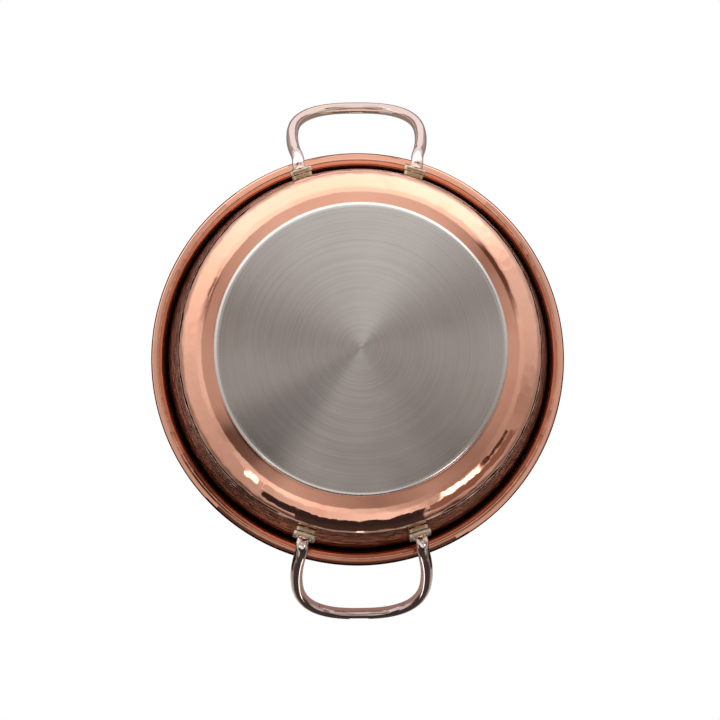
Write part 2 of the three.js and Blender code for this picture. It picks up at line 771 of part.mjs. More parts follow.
// A gear's outline. Each flank is straight between the involute's points at the root and the tip.
function gearOutline(teeth, firstTooth) {
  const pitch = (gearModule * teeth) / 2;
  const base = pitch * Math.cos(pressureAngle);
  const tip = pitch + gearModule;
  const root = pitch - gearModule * dedendumShare;
  const involute = (r) => {
    const a = Math.acos(Math.min(1, base / r));
    return Math.tan(a) - a;
  };
  const halfAtPitch = Math.PI / (2 * teeth) - toothPlay / 2 / pitch;
  const half = (r) => halfAtPitch + involute(pitch) - involute(Math.max(r, base));
  const radii = [root, tip];
  const shape = new THREE.Shape();
  for (let i = 0; i < teeth; i++) {
    const middle = firstTooth + (i * 2 * Math.PI) / teeth;
    const rising = radii.map((r) => [r, middle - half(r)]);
    const falling = radii.map((r) => [r, middle + half(r)]).reverse();
    [...rising, ...falling].forEach(([r, a], k) => {
      shape[i + k ? 'lineTo' : 'moveTo'](r * Math.cos(a), r * Math.sin(a));
    });
  }
  return shape;
}

// A spur gear about Z, with a bore through it.
function gear(teeth, firstTooth, low, high, bore) {
  return prism(gearOutline(teeth, firstTooth), low, high)
    .subtract(rod(bore, low - overrun, high + overrun, smallSides));
}

// In each pair, one wheel has a tooth on the line of centres and the other a space.
const toothAcross = Math.PI / pinionTeeth;
const boreGap = seatGap;

function outputGear() {
  const bore = shaftRadius + boreGap;
  const hub = tube(bore, gearHubRadius, floorUp + bushFlangeThickness + seatGap, outputHigh);
  return gear(gearTeeth, 0, outputLow, outputHigh, bore).add(hub);
}

function idlerPinion() {
  const body = gear(pinionTeeth, toothAcross, outputLow, idlerLow - seatGap, axleRadius + boreGap);
  return moved(body, idlerX, 0, 0);
}

function idlerGear() {
  const body = gear(gearTeeth, 0, idlerLow, idlerHigh, axleRadius + boreGap);
  return moved(body, idlerX, 0, 0);
}

function motorPinion() {
  return gear(pinionTeeth, toothAcross, idlerLow, plateLow - seatGap * 2, motorShaftRadius + boreGap);
}

function outputShaft() {
  const grooveTop = barLow - seatGap;
  const groove = grooveTop - clipThickness - seatGap;
  const neck = shaftRadius - clipGroove;
  const body = turned([
    [0, shaftBottom], [shaftRadius - shaftChamfer, shaftBottom], [shaftRadius, shaftBottom + shaftChamfer],
    [shaftRadius, groove],
    [neck, groove], [neck, grooveTop], [shaftRadius, grooveTop], [shaftRadius, shaftTop], [0, shaftTop],
  ]);
  return body.subtract(acrossPin(pinRadius + seatGap, crossPinLength));
}

// A bar across the shaft and the hub, where the cross pin sits.
function acrossPin(radius, length) {
  const height = hubBottom + pinRise;
  const bar = rod(radius, -length / 2, length / 2, smallSides);
  const lay = new THREE.Matrix4().makeRotationX(Math.PI / 2).setPosition(0, 0, height);
  return placed(bar, lay);
}

function retainingClip() {
  const low = barLow - seatGap * 1.5 - clipThickness;
  const inner = shaftRadius - clipGroove + seatGap;
  const half = inner * clipMouthShare;
  const mouth = block(0, clipRadius + overrun, -half, half, low - overrun, low + clipThickness + overrun);
  return tube(inner, clipRadius, low, low + clipThickness).subtract(mouth);
}

function outputBush() {
  const low = barCeiling - bushDrop;
  const bore = shaftRadius + seatGap;
  return turned([
    [bore, low], [bushRadius, low], [bushRadius, floorUp], [bushFlange, floorUp],
    [bushFlange, floorUp + bushFlangeThickness], [bore, floorUp + bushFlangeThickness],
  ]);
}

function shaftSeal() {
  const high = barCeiling - bushDrop - seatGap;
  const low = high - sealThickness;
  const inner = shaftRadius + seatGap;
  const waist = (inner + sealRadius) / 2;
  return turned([
    [inner, low], [sealRadius, low], [sealRadius, low + sealThickness / 3], [waist, (low + high) / 2],
    [sealRadius, high - sealThickness / 4], [sealRadius, high], [inner, high],
  ]);
}

function idlerAxle() {
  const low = floorUp - axleSeat + seatGap;
  return moved(rod(axleRadius, low, plateHigh - seatGap, smallSides), idlerX, 0, 0);
}

function gearPlate() {
  const outline = roundedRect(plateLeft, plateRight, -plateHalfWidth, plateHalfWidth, plateCorner);
  const body = prism(outline, plateLow, plateHigh, 4);
  const holes = [
    rod(motorShaftRadius + seatGap * 2, plateLow - overrun, plateHigh + overrun, smallSides),
    moved(rod(axleRadius + seatGap, plateLow - overrun, plateHigh + overrun, smallSides), idlerX, 0, 0),
    ...pillarPlaces.map(([x, y]) => moved(
      rod(stakeRadius + seatGap, plateLow - overrun, plateHigh + overrun, smallSides), x, y, 0)),
  ];
  return holes.reduce((cut, hole) => cut.subtract(hole), body);
}

// Motor

function motorCan() {
  const inner = canRadius - canSheet;
  const shaftHole = motorShaftRadius + seatGap;
  return turned([
    [inner, plateHigh], [canRadius, plateHigh], [canRadius, canTop], [shaftHole, canTop],
    [shaftHole, canTop - canSheet], [inner, canTop - canSheet],
  ]);
}

function statorCoil() {
  const outer = canRadius - canSheet - seatGap;
  return tube(rotorRadius + rotorAirGap, outer, plateHigh + seatGap, canTop - canSheet - seatGap);
}

function motorRotor() {
  const high = canTop - canSheet - rotorMargin;
  return tube(motorShaftRadius + boreGap, rotorRadius, plateHigh + rotorMargin, high);
}

function motorShaft() {
  return rod(motorShaftRadius, idlerLow + seatGap, canTop - canSheet / 2, smallSides);
}

// Switch, inlet, capacitor and leads

const inletLow = jointZ + inletRise;
const inletHigh = inletLow + inletHeight;
const switchTop = coverTop + switchFlange;

function switchBody() {
  const [x, y] = [switchWidth / 2, switchLength / 2];
  const low = coverTop - switchDepth;
  const body = block(switchX - x, switchX + x, -y, y, low, switchTop - switchFlange / 2);
  const outline = plateOutline(switchWidth + 2 * switchBezel, switchLength + 2 * switchBezel, switchBezel);
  const flange = moved(prism(outline, coverTop + seatGap, switchTop, 3), switchX, 0, 0);
  const [wellX, wellY] = [x - switchBezel, y - switchBezel];
  const wellFloor = coverTop - rockerDepth;
  const well = block(switchX - wellX, switchX + wellX, -wellY, wellY, wellFloor, switchTop + overrun);
  return body.add(flange).subtract(well);
}

// The rocker's side view has round ends about its pivot and a shallow valley on top. It is tilted to off.
function switchRocker() {
  const reach = switchLength / 2 - switchBezel - seatGap;
  const thick = switchWidth - 2 * (switchBezel + seatGap);
  const endHeight = switchFlange + rockerPivotDrop + rockerRise;
  const endAngle = Math.asin(endHeight / reach);
  const lowAngle = endAngle / 2;
  const side = new THREE.Shape();
  side.absarc(0, 0, reach, -lowAngle, endAngle);
  side.lineTo(0, endHeight - rockerDip);
  side.absarc(0, 0, reach, Math.PI - endAngle, Math.PI + lowAngle);
  const body = prism(side, -thick / 2, thick / 2, 4);
  const tilt = new THREE.Matrix4().makeRotationX(rockerTilt);
  tilt.setPosition(switchX, 0, coverTop - rockerPivotDrop);
  return placed(placed(body, sideOn()), tilt);
}

// Turns an outline drawn in X and Y to stand in Y and Z, raised along X.
function sideOn() {
  const [x, y, z] = [0, 1, 2].map((i) => new THREE.Vector3().setComponent(i, 1));
  return new THREE.Matrix4().makeBasis(y, z, x);
}

function mainsInlet() {
  const [x0, x1] = [inletX - inletWidth / 2, inletX + inletWidth / 2];
  const face = houseHalfWidth + inletFlange;
  const body = block(x0, x1, houseHalfWidth - inletDepth, face, inletLow, inletHigh);
  const flange = block(x0 - inletRim, x1 + inletRim, houseHalfWidth + seatGap, face,
    inletLow - inletRim, inletHigh + inletRim);
  const lobe = (inletHeight - 2 * socketWall) / 2;
  const well = block(x0 + socketWall + lobe, x1 - socketWall - lobe, face - socketDepth, face + overrun,
    inletLow + socketWall, inletHigh - socketWall);
  const inwards = new THREE.Matrix4().makeRotationX(Math.PI / 2);
  const lay = (made, x) => moved(placed(made, inwards), x, face, (inletLow + inletHigh) / 2);
  const round = rod(lobe, -overrun, socketDepth, smallSides);
  const pin = rod(lobe / 3, socketWall, socketDepth + socketWall, smallSides);
  const places = [x0 + socketWall + lobe, x1 - socketWall - lobe];
  const bored = places.reduce((made, x) => made.subtract(lay(round, x)), body.add(flange).subtract(well));
  return places.reduce((made, x) => made.add(lay(pin, x)), bored);
}

function capacitor() {
  const height = floorUp + capacitorRadius + seatGap;
  const lay = new THREE.Matrix4().makeRotationY(Math.PI / 2).setPosition(capacitorX, capacitorY, height);
  return placed(rod(capacitorRadius, -capacitorLength / 2, capacitorLength / 2, smallSides), lay);
}

// A short lead inside the housing, along a curve through its points.
function lead(points) {
  const curve = new THREE.CatmullRomCurve3(points.map((p) => new THREE.Vector3(...p)));
  return swept(curve, leadRadius, leadSteps, 6);
}

function inletLead() {
  const back = houseHalfWidth - inletDepth - seatGap;
  const under = coverTop - switchDepth - seatGap;
  const middle = (inletLow + inletHigh) / 2;
  const drop = under - middle;
  return lead([
    [inletX, back, middle], [inletX, back * 0.85, middle], [switchX * 0.97, back * 0.5, middle + drop * 0.2],
    [switchX, switchLength / 4, middle + drop * 0.6], [switchX, switchLength / 4, under],
  ]);
}

function motorLead() {
  const under = coverTop - switchDepth - seatGap;
  const can = canRadius + seatGap;
  const height = (plateHigh + under) / 2;
  return lead([
    [can, 0, height], [can * 1.12, 0, height], [(can + switchX) / 2, -leadRadius, height - leadRadius],
    [switchX, -switchLength / 4, (height + under) / 2], [switchX, -switchLength / 4, under],
  ]);
}

// Paddle

const hubBottom = shaftBottom - seatGap - hubFloor;

function crossPin() {
  return acrossPin(pinRadius, crossPinLength);
}

// A socket over the shaft's end, held by the cross pin, on a spindle that forks over the blade.
function paddleHub() {
  const top = hubBottom + hubLength;
  const bladeTop = floorTop + bladeGap + bladeWidth;
  const socket = rod(shaftRadius + seatGap, hubBottom + hubFloor, top + overrun);
  const pinHole = acrossPin(pinRadius + seatGap, crossPinLength);
  const neck = turned([
    [0, bladeTop - bladeWidth / 2], [spindleRadius, bladeTop - bladeWidth / 2],
    [spindleRadius, hubBottom - hubRadius],
    [hubRadius, hubBottom], [hubRadius, top], [0, top],
  ]);
  const fork = block(-hubRadius, hubRadius, -bladeThickness / 2 - seatGap, bladeThickness / 2 + seatGap,
    bladeTop - bladeWidth, bladeTop + seatGap);
  return neck.subtract(socket).subtract(pinHole).subtract(fork);
}

// A flat strip that follows the pot's inside from the long arm's tip, along the floor to the short arm's tip.
function paddleBlade() {
  const steps = 6;
  const edge = (gap) => {
    const mirror = bowlCurve(gap, tallArm, steps).slice(1).reverse().map(([r, z]) => [-r, z]);
    return [...mirror, ...bowlCurve(gap, shortArm, steps).slice(1)];
  };
  const outer = edge(bladeGap);
  const inner = edge(bladeGap + bladeWidth).reverse();
  const shape = new THREE.Shape([...outer, ...inner].map(([x, z]) => new THREE.Vector2(x, z)));
  const stand = new THREE.Matrix4().makeRotationX(Math.PI / 2).setPosition(0, bladeThickness / 2, 0);
  return placed(prism(shape, 0, bladeThickness), stand);
}

// A beech strip on the blade's leading face, which clears the floor more closely than the steel does.
function scraper(hand) {
  const low = floorTop + scraperGap;
  const face = bladeThickness / 2;
  const bevel = scraperHeight * scraperBevelShare;
  const side = new THREE.Shape([
    [face, low + scraperHeight], [face, low], [face + scraperThickness * scraperBevelShare, low],
    [face + scraperThickness, low + bevel], [face + scraperThickness, low + scraperHeight],
  ].map(([y, z]) => new THREE.Vector2(y, z)));
  const strip = placed(prism(side, scraperStart, scraperEnd), sideOn());
  return hand > 0 ? strip : turnedAboutZ(strip, Math.PI);
}

// The assembly

const pot = new THREE.Group();

function add(name, body, finish) {
  const mesh = new THREE.Mesh(geometryOf(body), finish);
  mesh.name = name;
  pot.add(mesh);
}

const sideNames = [['front', -1], ['rear', 1]];
const handNames = [['left', -1], ['right', 1]];

add('copper_shell', copperShell(), copper);
add('rim_wire', rimWire(), zinc);
add('base_core', baseCore(), aluminium);
add('base_cap', baseCap(), steel);
for (const [sideName, side] of sideNames) {
  add(`${sideName}_handle`, handle(side), polished);
  for (const [handName, hand] of handNames) {
    const frame = footFrame(side, hand);
    add(`${sideName}_${handName}_spacer`, spacer(frame), brass);
    add(`${sideName}_${handName}_upper_rivet`, rivet(frame, 1), copper);
    add(`${sideName}_${handName}_lower_rivet`, rivet(frame, -1), copper);
  }
}

add('crossbar', crossbar(), stainless);
for (const [handName, hand] of handNames) {
  add(`${handName}_arm`, slidingArm(hand), stainless);
  add(`${handName}_wall_pad`, wallPad(hand), silicone);
  add(`${handName}_clamp_boss`, clampBoss(hand), brass);
  add(`${handName}_thumbscrew`, thumbscrew(hand), brass);
}
add('housing_base', housingBase(), blackPlastic);
add('housing_cover', housingCover(), blackPlastic);
screwPlaces().forEach(([x, y], i) => add(`housing_screw_${i + 1}`, houseScrew(x, y), zinc));
barScrewPlaces.forEach((x, i) => add(`crossbar_screw_${i + 1}`, barScrew(x), zinc));

add('output_gear', outputGear(), nylon);
add('output_shaft', outputShaft(), stainless);
add('retaining_clip', retainingClip(), zinc);
add('output_bush', outputBush(), bronze);
add('shaft_seal', shaftSeal(), silicone);
add('idler_gear', idlerGear(), brass);
add('idler_pinion', idlerPinion(), stainless);
add('idler_axle', idlerAxle(), stainless);
add('gear_plate', gearPlate(), zinc);

add('motor_can', motorCan(), zinc);
add('stator_coil', statorCoil(), winding);
add('motor_rotor', motorRotor(), steel);
add('motor_shaft', motorShaft(), stainless);
add('motor_pinion', motorPinion(), stainless);

add('switch_body', switchBody(), blackPlastic);
add('switch_rocker', switchRocker(), redPlastic);
add('mains_inlet', mainsInlet(), blackPlastic);
add('capacitor', capacitor(), aluminium);
add('inlet_lead', inletLead(), redPlastic);
add('motor_lead', motorLead(), redPlastic);

add('cross_pin', crossPin(), stainless);
add('paddle_hub', paddleHub(), stainless);
add('paddle_blade', paddleBlade(), stainless);
for (const [handName, hand] of handNames) {
  add(`${handName}_scraper`, scraper(hand), beech);
}

export default pot;
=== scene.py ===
"""An electric polenta pot, seen from under its steel base, with the stirring drive on its rim.

Meshes are drawn in millimetres and scaled to metres when a piece is finished.
"""

import json
import math

import bmesh
import bpy
from mathutils import Matrix, Vector, noise


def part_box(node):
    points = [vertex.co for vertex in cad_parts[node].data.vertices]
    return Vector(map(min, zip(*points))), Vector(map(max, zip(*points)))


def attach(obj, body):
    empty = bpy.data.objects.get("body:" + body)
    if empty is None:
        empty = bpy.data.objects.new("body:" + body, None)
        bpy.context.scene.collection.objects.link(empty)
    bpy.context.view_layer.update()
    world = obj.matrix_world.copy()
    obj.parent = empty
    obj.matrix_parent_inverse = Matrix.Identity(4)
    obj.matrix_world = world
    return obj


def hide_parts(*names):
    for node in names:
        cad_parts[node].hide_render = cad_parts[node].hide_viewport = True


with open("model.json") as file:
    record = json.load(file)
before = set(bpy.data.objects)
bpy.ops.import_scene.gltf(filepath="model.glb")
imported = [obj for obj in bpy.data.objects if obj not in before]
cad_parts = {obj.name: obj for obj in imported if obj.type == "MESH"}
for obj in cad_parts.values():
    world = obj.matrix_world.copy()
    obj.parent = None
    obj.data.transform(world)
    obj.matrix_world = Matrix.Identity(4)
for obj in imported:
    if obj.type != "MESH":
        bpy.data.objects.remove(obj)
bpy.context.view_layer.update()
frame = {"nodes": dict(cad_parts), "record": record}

MM = 0.001
UP = Vector((0, 0, 1))


def box_mm(node):
    """A CAD node's lowest and highest corners, in millimetres."""
    return tuple(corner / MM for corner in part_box(node))


# Sizes of the pot, in millimetres. The roll is thicker here than in the solids, and the flat
# under it is shorter.
POT_HEIGHT = box_mm("copper_shell")[1].z
SHEET = 1.6
SHELL_UNDERSIDE = box_mm("copper_shell")[0].z
FLOOR_RADIUS = 83.5
CORNER_RADIUS = 26
WALL_LEAN = math.radians(10.9)
LIP_BEND = 7
LIP_LEAN = math.radians(62)
LIP_FLAT = 1.82
WIRE_RADIUS = 2.8
CURL_END = math.radians(330)
SEAT_GAP = 0.3
BASE_RADIUS = box_mm("base_cap")[1].x
BASE_EDGE = 3.5
CAP_SHEET = 0.8

# The planishing marks: how many stand round the pot, the radii between which they fade in, and
# the heights between which they fade out
MARKS_ROUND = 106
MARK_ROW = 6.6
MARK_DEPTH = 0.26
MARKS_START, MARKS_FULL = 92, 100
MARKS_FADE, MARKS_END = 129, 133

CURL_RADIUS = WIRE_RADIUS + SEAT_GAP + SHEET / 2
CORNER_TOP = (
    FLOOR_RADIUS + CORNER_RADIUS * math.cos(WALL_LEAN),
    SHELL_UNDERSIDE + CORNER_RADIUS * (1 - math.sin(WALL_LEAN)),
)
LIP_RISE = (
    LIP_BEND * (math.sin(LIP_LEAN) - math.sin(WALL_LEAN))
    + LIP_FLAT * math.cos(LIP_LEAN)
    + CURL_RADIUS * (1 - math.sin(LIP_LEAN))
    + SHEET / 2
)
WALL_TOP = POT_HEIGHT - LIP_RISE - SHEET / 2 * math.sin(WALL_LEAN)

# The handles and their feet
ROD_RADIUS = 3.86
FOOT_ANGLE = math.radians(17.5)
FOOT_HEIGHT = 50
PAD_WIDTH = 14
PAD_LENGTH = 26
PAD_THICKNESS = 2.5
PAD_CORNER = 3
PAD_EDGE = 0.5
SPACER_WIDTH = 12
SPACER_LENGTH = 24
SPACER_THICKNESS = 3.2
SPACER_EDGE = 0.45
SPACER_GAP = 0.45
FLARE_RADIUS = 5.2
FLARE_LENGTH = 4
GRIP_REACH = 174.3
GRIP_HEIGHT = 146
GRIP_HALF_WIDTH = 41.9
SHOULDER_SHARE = 0.46
LOOP_SQUARENESS = 2.6
LEG_SHARES = (0, 0.33, 0.67)
LEG_STAND = 10
HANDLE_POINTS = 9
RIVET_SHANK = 2.2
RIVET_HEAD = 3.6
RIVET_HEAD_HEIGHT = 2.2
RIVET_INNER_HEAD = 4.2
RIVET_INNER_HEIGHT = 1.2
RIVET_SPACING = 18.4
POT_FACETS = 40
PAD_FOOT = SPACER_THICKNESS + SEAT_GAP
PAD_FACE = PAD_FOOT + PAD_THICKNESS
NECK_FOOT = PAD_FACE - 1


def wall_radius(height):
    """Outside radius of the copper wall at a height."""
    return CORNER_TOP[0] + (height - CORNER_TOP[1]) * math.tan(WALL_LEAN)


# Mesh tools


class Pen:
    """Draws a section in the X and Z plane: lines are extruded and arcs are spun."""

    def __init__(self, x, z):
        self.bm = bmesh.new()
        self.tip = self.bm.verts.new((x, 0, z))

    def to(self, x, z):
        made = bmesh.ops.extrude_vert_indiv(self.bm, verts=[self.tip])
        self.tip = made["verts"][0]
        self.tip.co = (x, 0, z)
        return self

    def ahead(self, length, heading):
        """A line of a length, with the heading measured clockwise from straight up."""
        x, z = self.tip.co.x, self.tip.co.z
        return self.to(x + length * math.sin(heading), z + length * math.cos(heading))

    def arc(self, x, z, angle, steps):
        """An arc about a centre, clockwise where the angle is positive."""
        made = bmesh.ops.spin(
            self.bm, geom=[self.tip], cent=(x, 0, z), axis=(0, 1, 0), angle=angle, steps=steps
        )
        self.tip = [g for g in made["geom_last"] if isinstance(g, bmesh.types.BMVert)][0]
        return self

    def bend(self, radius, start, end, steps):
        """An arc that goes on from the tip, from one heading to another."""
        side = math.copysign(1, end - start)
        x = self.tip.co.x + side * radius * math.cos(start)
        z = self.tip.co.z - side * radius * math.sin(start)
        return self.arc(x, z, end - start, steps)

    def close(self):
        """Joins the last point to the first."""
        self.bm.verts.ensure_lookup_table()
        self.bm.edges.new((self.tip, self.bm.verts[0]))
        return self

    def turned(self, steps=64):
        """The section turned once about Z, with its doubles merged and its faces outwards."""
        bm = self.bm
        bmesh.ops.spin(
            bm, geom=bm.verts[:] + bm.edges[:], cent=(0, 0, 0), axis=UP, angle=2 * math.pi,
            steps=steps, use_merge=True,
        )
        bmesh.ops.remove_doubles(bm, verts=bm.verts, dist=1e-5)
        bmesh.ops.recalc_face_normals(bm, faces=bm.faces)
        return bm


def faced_down(bm):
    """An open shell with its lowest faces looking down, so that solidify goes inwards."""
    lowest = min(bm.faces, key=lambda face: face.calc_center_median().z)
    lowest.normal_update()
    if lowest.normal.z > 0:
        bmesh.ops.reverse_faces(bm, faces=bm.faces)
    return bm


def sharp_edges(bm, least=35):
    """Edges where two faces meet at more than this many degrees."""
    limit = math.radians(least)
    return [e for e in bm.edges if len(e.link_faces) == 2 and e.calc_face_angle(0) > limit]


def rounded(bm, edges, width, segments):
    bmesh.ops.bevel(
        bm, geom=list(edges), offset=width, segments=segments, profile=0.5, affect="EDGES",
        offset_type="OFFSET", material=-1, clamp_overlap=True,
    )
    return bm


def block(x0, x1, y0, y1, z0, z1):
    bm = bmesh.new()
    bmesh.ops.create_cube(bm, size=1)
    bmesh.ops.scale(bm, vec=(x1 - x0, y1 - y0, z1 - z0), verts=bm.verts)
    bmesh.ops.translate(bm, vec=((x0 + x1) / 2, (y0 + y1) / 2, (z0 + z1) / 2), verts=bm.verts)
    return bm


def upright_edges(bm):
    return [e for e in bm.edges if abs((e.verts[0].co - e.verts[1].co).normalized().z) > 0.999]


def level_edges(bm, height):
    return [e for e in bm.edges if all(abs(v.co.z - height) < 1e-3 for v in e.verts)]


def plate(width, length, low, high, corner, edge):
    """A plate about the Z axis with round corners and softened faces."""
    bm = block(-width / 2, width / 2, -length / 2, length / 2, low, high)
    rounded(bm, upright_edges(bm), corner, 6)
    return rounded(bm, level_edges(bm, low) + level_edges(bm, high), edge, 3)


def joined(*parts):
    """Several bmeshes as one."""
    whole = bmesh.new()
    for part in parts:
        mesh = bpy.data.meshes.new("part")
        part.to_mesh(mesh)
        part.free()
        whole.from_mesh(mesh)
        bpy.data.meshes.remove(mesh)
    return whole


def placed(bm, matrix):
    bmesh.ops.transform(bm, matrix=matrix, verts=bm.verts)
    return bm


def moved(bm, x, y, z):
    return placed(bm, Matrix.Translation((x, y, z)))


def scored(bm, cuts):
    """Cuts edges across a mesh at planes, each given by a place and a normal."""
    for place, normal in cuts:
        bmesh.ops.bisect_plane(
            bm, geom=bm.verts[:] + bm.edges[:] + bm.faces[:], plane_co=place, plane_no=normal
        )


def copy_of(node):
    """A CAD node's mesh in millimetres, with its flat faces whole again."""
    bm = bmesh.new()
    bm.from_mesh(frame["nodes"][node].data)
    bmesh.ops.scale(bm, vec=(1 / MM,) * 3, verts=bm.verts)
    bmesh.ops.remove_doubles(bm, verts=bm.verts, dist=1e-3)
    bmesh.ops.dissolve_limit(
        bm, angle_limit=math.radians(1), verts=bm.verts, edges=bm.edges, delimit=set()
    )
    return bm


def piece(name, bm, finish, body, *nodes, smooth=40):
    """A finished object from a bmesh in millimetres. It rides on a body and replaces CAD nodes."""
    bmesh.ops.scale(bm, vec=(MM,) * 3, verts=bm.verts)
    mesh = bpy.data.meshes.new(name)
    bm.to_mesh(mesh)
    bm.free()
    mesh.shade_smooth()
    mesh.set_sharp_from_angle(angle=math.radians(smooth))
    obj = bpy.data.objects.new(name, mesh)
    bpy.context.scene.collection.objects.link(obj)
    material, slot = finish
    mesh.materials.append(material)
    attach(obj, body)
    if nodes:
        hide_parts(*nodes)


# Materials


class Wire:
    """A socket's value. Operators on wires and numbers add Math nodes."""

    def __init__(self, finish, socket):
        self.finish = finish
        self.socket = socket

    def __add__(self, other):
        return self.finish.math("ADD", self, other)

    def __radd__(self, other):
        return self.finish.math("ADD", other, self)

    def __sub__(self, other):
        return self.finish.math("SUBTRACT", self, other)

    def __rsub__(self, other):
        return self.finish.math("SUBTRACT", other, self)

    def __mul__(self, other):
        return self.finish.math("MULTIPLY", self, other)

    def __rmul__(self, other):
        return self.finish.math("MULTIPLY", other, self)

    def __truediv__(self, other):
        return self.finish.math("DIVIDE", self, other)

    def __rtruediv__(self, other):
        return self.finish.math("DIVIDE", other, self)


class Finish:
    """A procedural material, built up node by node."""

    def __init__(self, name):
        self.material = bpy.data.materials.new(name)
        self.material.use_nodes = True
        self.tree = self.material.node_tree
        self.tree.nodes.clear()
        self.output = self.tree.nodes.new("ShaderNodeOutputMaterial")

    def node(self, kind, settings=None, inputs=None):
        """One node: its settings first, then the values or links of its inputs."""
        made = self.tree.nodes.new(kind)
        for name, value in (settings or {}).items():
            if name == "stops":
                self.set_stops(made.color_ramp, value)
            else:
                setattr(made, name, value)
        for name, value in (inputs or {}).items():
            self.feed(made.inputs[name], value)
        return made

    @staticmethod
    def set_stops(ramp, stops):
        while len(ramp.elements) < len(stops):
            ramp.elements.new(0.5)
        for element, (place, colour) in zip(ramp.elements, stops):
            element.position = place
            element.color = (*colour, 1)

    def feed(self, socket, value):
        if isinstance(value, Wire):
            self.tree.links.new(value.socket, socket)
        elif socket.type == "RGBA":
            socket.default_value = (*value, 1)
        else:
            socket.default_value = value

    def wire(self, kind, settings=None, inputs=None, output=0):
        return Wire(self, self.node(kind, settings, inputs).outputs[output])

    def math(self, operation, *values):
        return self.wire("ShaderNodeMath", {"operation": operation}, dict(enumerate(values)))

    def mixed(self, factor, a, b):
        """Colour a where the factor is 0 and b where it is 1."""
        return self.wire(
            "ShaderNodeMix", {"data_type": "RGBA"}, {0: factor, 6: a, 7: b}, output=2
        )

    def ramp(self, value, *stops):
        return self.wire("ShaderNodeValToRGB", {"stops": stops}, {0: value})

    def ranged(self, value, low, high, to_low=0, to_high=1):
        """A value brought from one range to another, and kept inside it."""
        return self.wire(
            "ShaderNodeMapRange", {}, {0: value, 1: low, 2: high, 3: to_low, 4: to_high}
        )

    def place(self, centre=(0, 0, 0), scale=(1, 1, 1)):
        """Object coordinates about a centre, in metres."""
        coordinates = self.wire("ShaderNodeTexCoord", output="Object")
        centred = self.wire(
            "ShaderNodeMapping", {"vector_type": "POINT"},
            {"Vector": coordinates, "Location": [-c for c in centre]},
        )
        return self.wire(
            "ShaderNodeMapping", {"vector_type": "POINT"},
            {"Vector": centred, "Scale": scale},
        )

    def split(self, vector):
        made = self.node("ShaderNodeSeparateXYZ", {}, {0: vector})
        return [Wire(self, made.outputs[i]) for i in range(3)]

    def joined(self, x, y, z):
        return self.wire("ShaderNodeCombineXYZ", {}, {0: x, 1: y, 2: z})

    def noise(self, vector, scale, detail=2, roughness=0.5, distortion=0):
        return self.wire(
            "ShaderNodeTexNoise", {},
            {"Vector": vector, "Scale": scale, "Detail": detail, "Roughness": roughness,
             "Distortion": distortion},
        )

    def bump(self, height, distance, under=None):
        """A bump whose height of 1 stands this many metres out of the surface."""
        inputs = {"Height": height, "Distance": distance}
        if under is not None:
            inputs["Normal"] = under
        return self.wire("ShaderNodeBump", {}, inputs)

    def principled(self, **inputs):
        """The shader. An underscore in a name stands for a space in the socket's name."""
        named = {name.replace("_", " "): value for name, value in inputs.items()}
        shader = self.wire("ShaderNodeBsdfPrincipled", {}, named)
        self.show(shader)
        return self.material

    def show(self, shader):
        self.tree.links.new(shader.socket, self.output.inputs["Surface"])


def polar(finish, vector):
    """Radius, angle and height of object coordinates about the Z axis."""
    x, y, z = finish.split(vector)
    radius = finish.math("SQRT", x * x + y * y)
    return radius, finish.math("ARCTAN2", y, x), z


def hammered_copper(name, dent=0.00013):
    """Polished copper with rows of planishing marks, fine turning lines and a warm uneven tint."""
    f = Finish(name)
    here = f.place()
    radius, angle, z = polar(f, here)
    along = angle * (MARKS_ROUND / (2 * math.pi))
    row = (radius + z) / (MARK_ROW * MM)
    marked = f.wire(
        "ShaderNodeTexVoronoi", {"feature": "F1"},
        {"Vector": f.joined(along, row, 0), "Scale": 1, "Randomness": 0.7},
    )
    inside = f.ranged(radius, MARKS_START * MM, MARKS_FULL * MM)
    hammered = inside * f.ranged(z, MARKS_END * MM, MARKS_FADE * MM)
    swell = f.noise(here, 22, 2, 0.45)
    lines = f.noise(f.joined(angle * 1.5, radius * 2600, z * 2600), 1, 2, 0.6)
    planished = f.bump(marked * marked * hammered, dent)
    swollen = f.bump(swell, 0.0006, under=planished)
    turned = f.bump(lines, 0.0000012, under=swollen)
    tint = f.ranged(f.noise(here, 14, 3, 0.55), 0.35, 0.68)
    warm = f.mixed(tint, (0.9, 0.455, 0.315), (0.94, 0.515, 0.375))
    blush = f.ranged(f.noise(here, 30, 2, 0.6, 0.6), 0.6, 0.72)
    colour = f.mixed(blush * 0.3, warm, (0.86, 0.34, 0.22))
    rough = f.ranged(f.noise(here, 90, 3, 0.6), 0.3, 0.75, 0.06, 0.13)
    return f.principled(Base_Color=colour, Metallic=1.0, Roughness=rough, Normal=turned)


def brushed_disc(name):
    """Steel that was ground on a wheel: fine rings, and a sheen spread across them."""
    f = Finish(name)
    here = f.place()
    radius, angle, _ = polar(f, here)
    fine = f.noise(f.joined(angle * 0.7, radius * 3600, 0), 1, 3, 0.75)
    broad = f.noise(f.joined(angle * 0.25, radius * 850, 5), 1, 2, 0.6)
    rings = f.bump(fine * 0.6 + broad * 0.4, 0.000004)
    cloud = f.noise(here, 18, 3, 0.5)
    colour = f.mixed(f.ranged(cloud, 0.35, 0.65), (0.53, 0.48, 0.445), (0.62, 0.575, 0.545))
    scored_share = f.ranged(fine * 0.5 + broad * 0.5, 0.38, 0.62) * 0.42
    worn = f.mixed(scored_share, colour, (0.74, 0.7, 0.67))
    rough = f.ranged(cloud + fine * 0.4, 0.5, 1.0, 0.17, 0.21)
    return f.principled(
        Base_Color=worn, Metallic=1.0, Roughness=rough, Anisotropic=1.0, Anisotropic_Rotation=0.25,
        Normal=rings,
    )


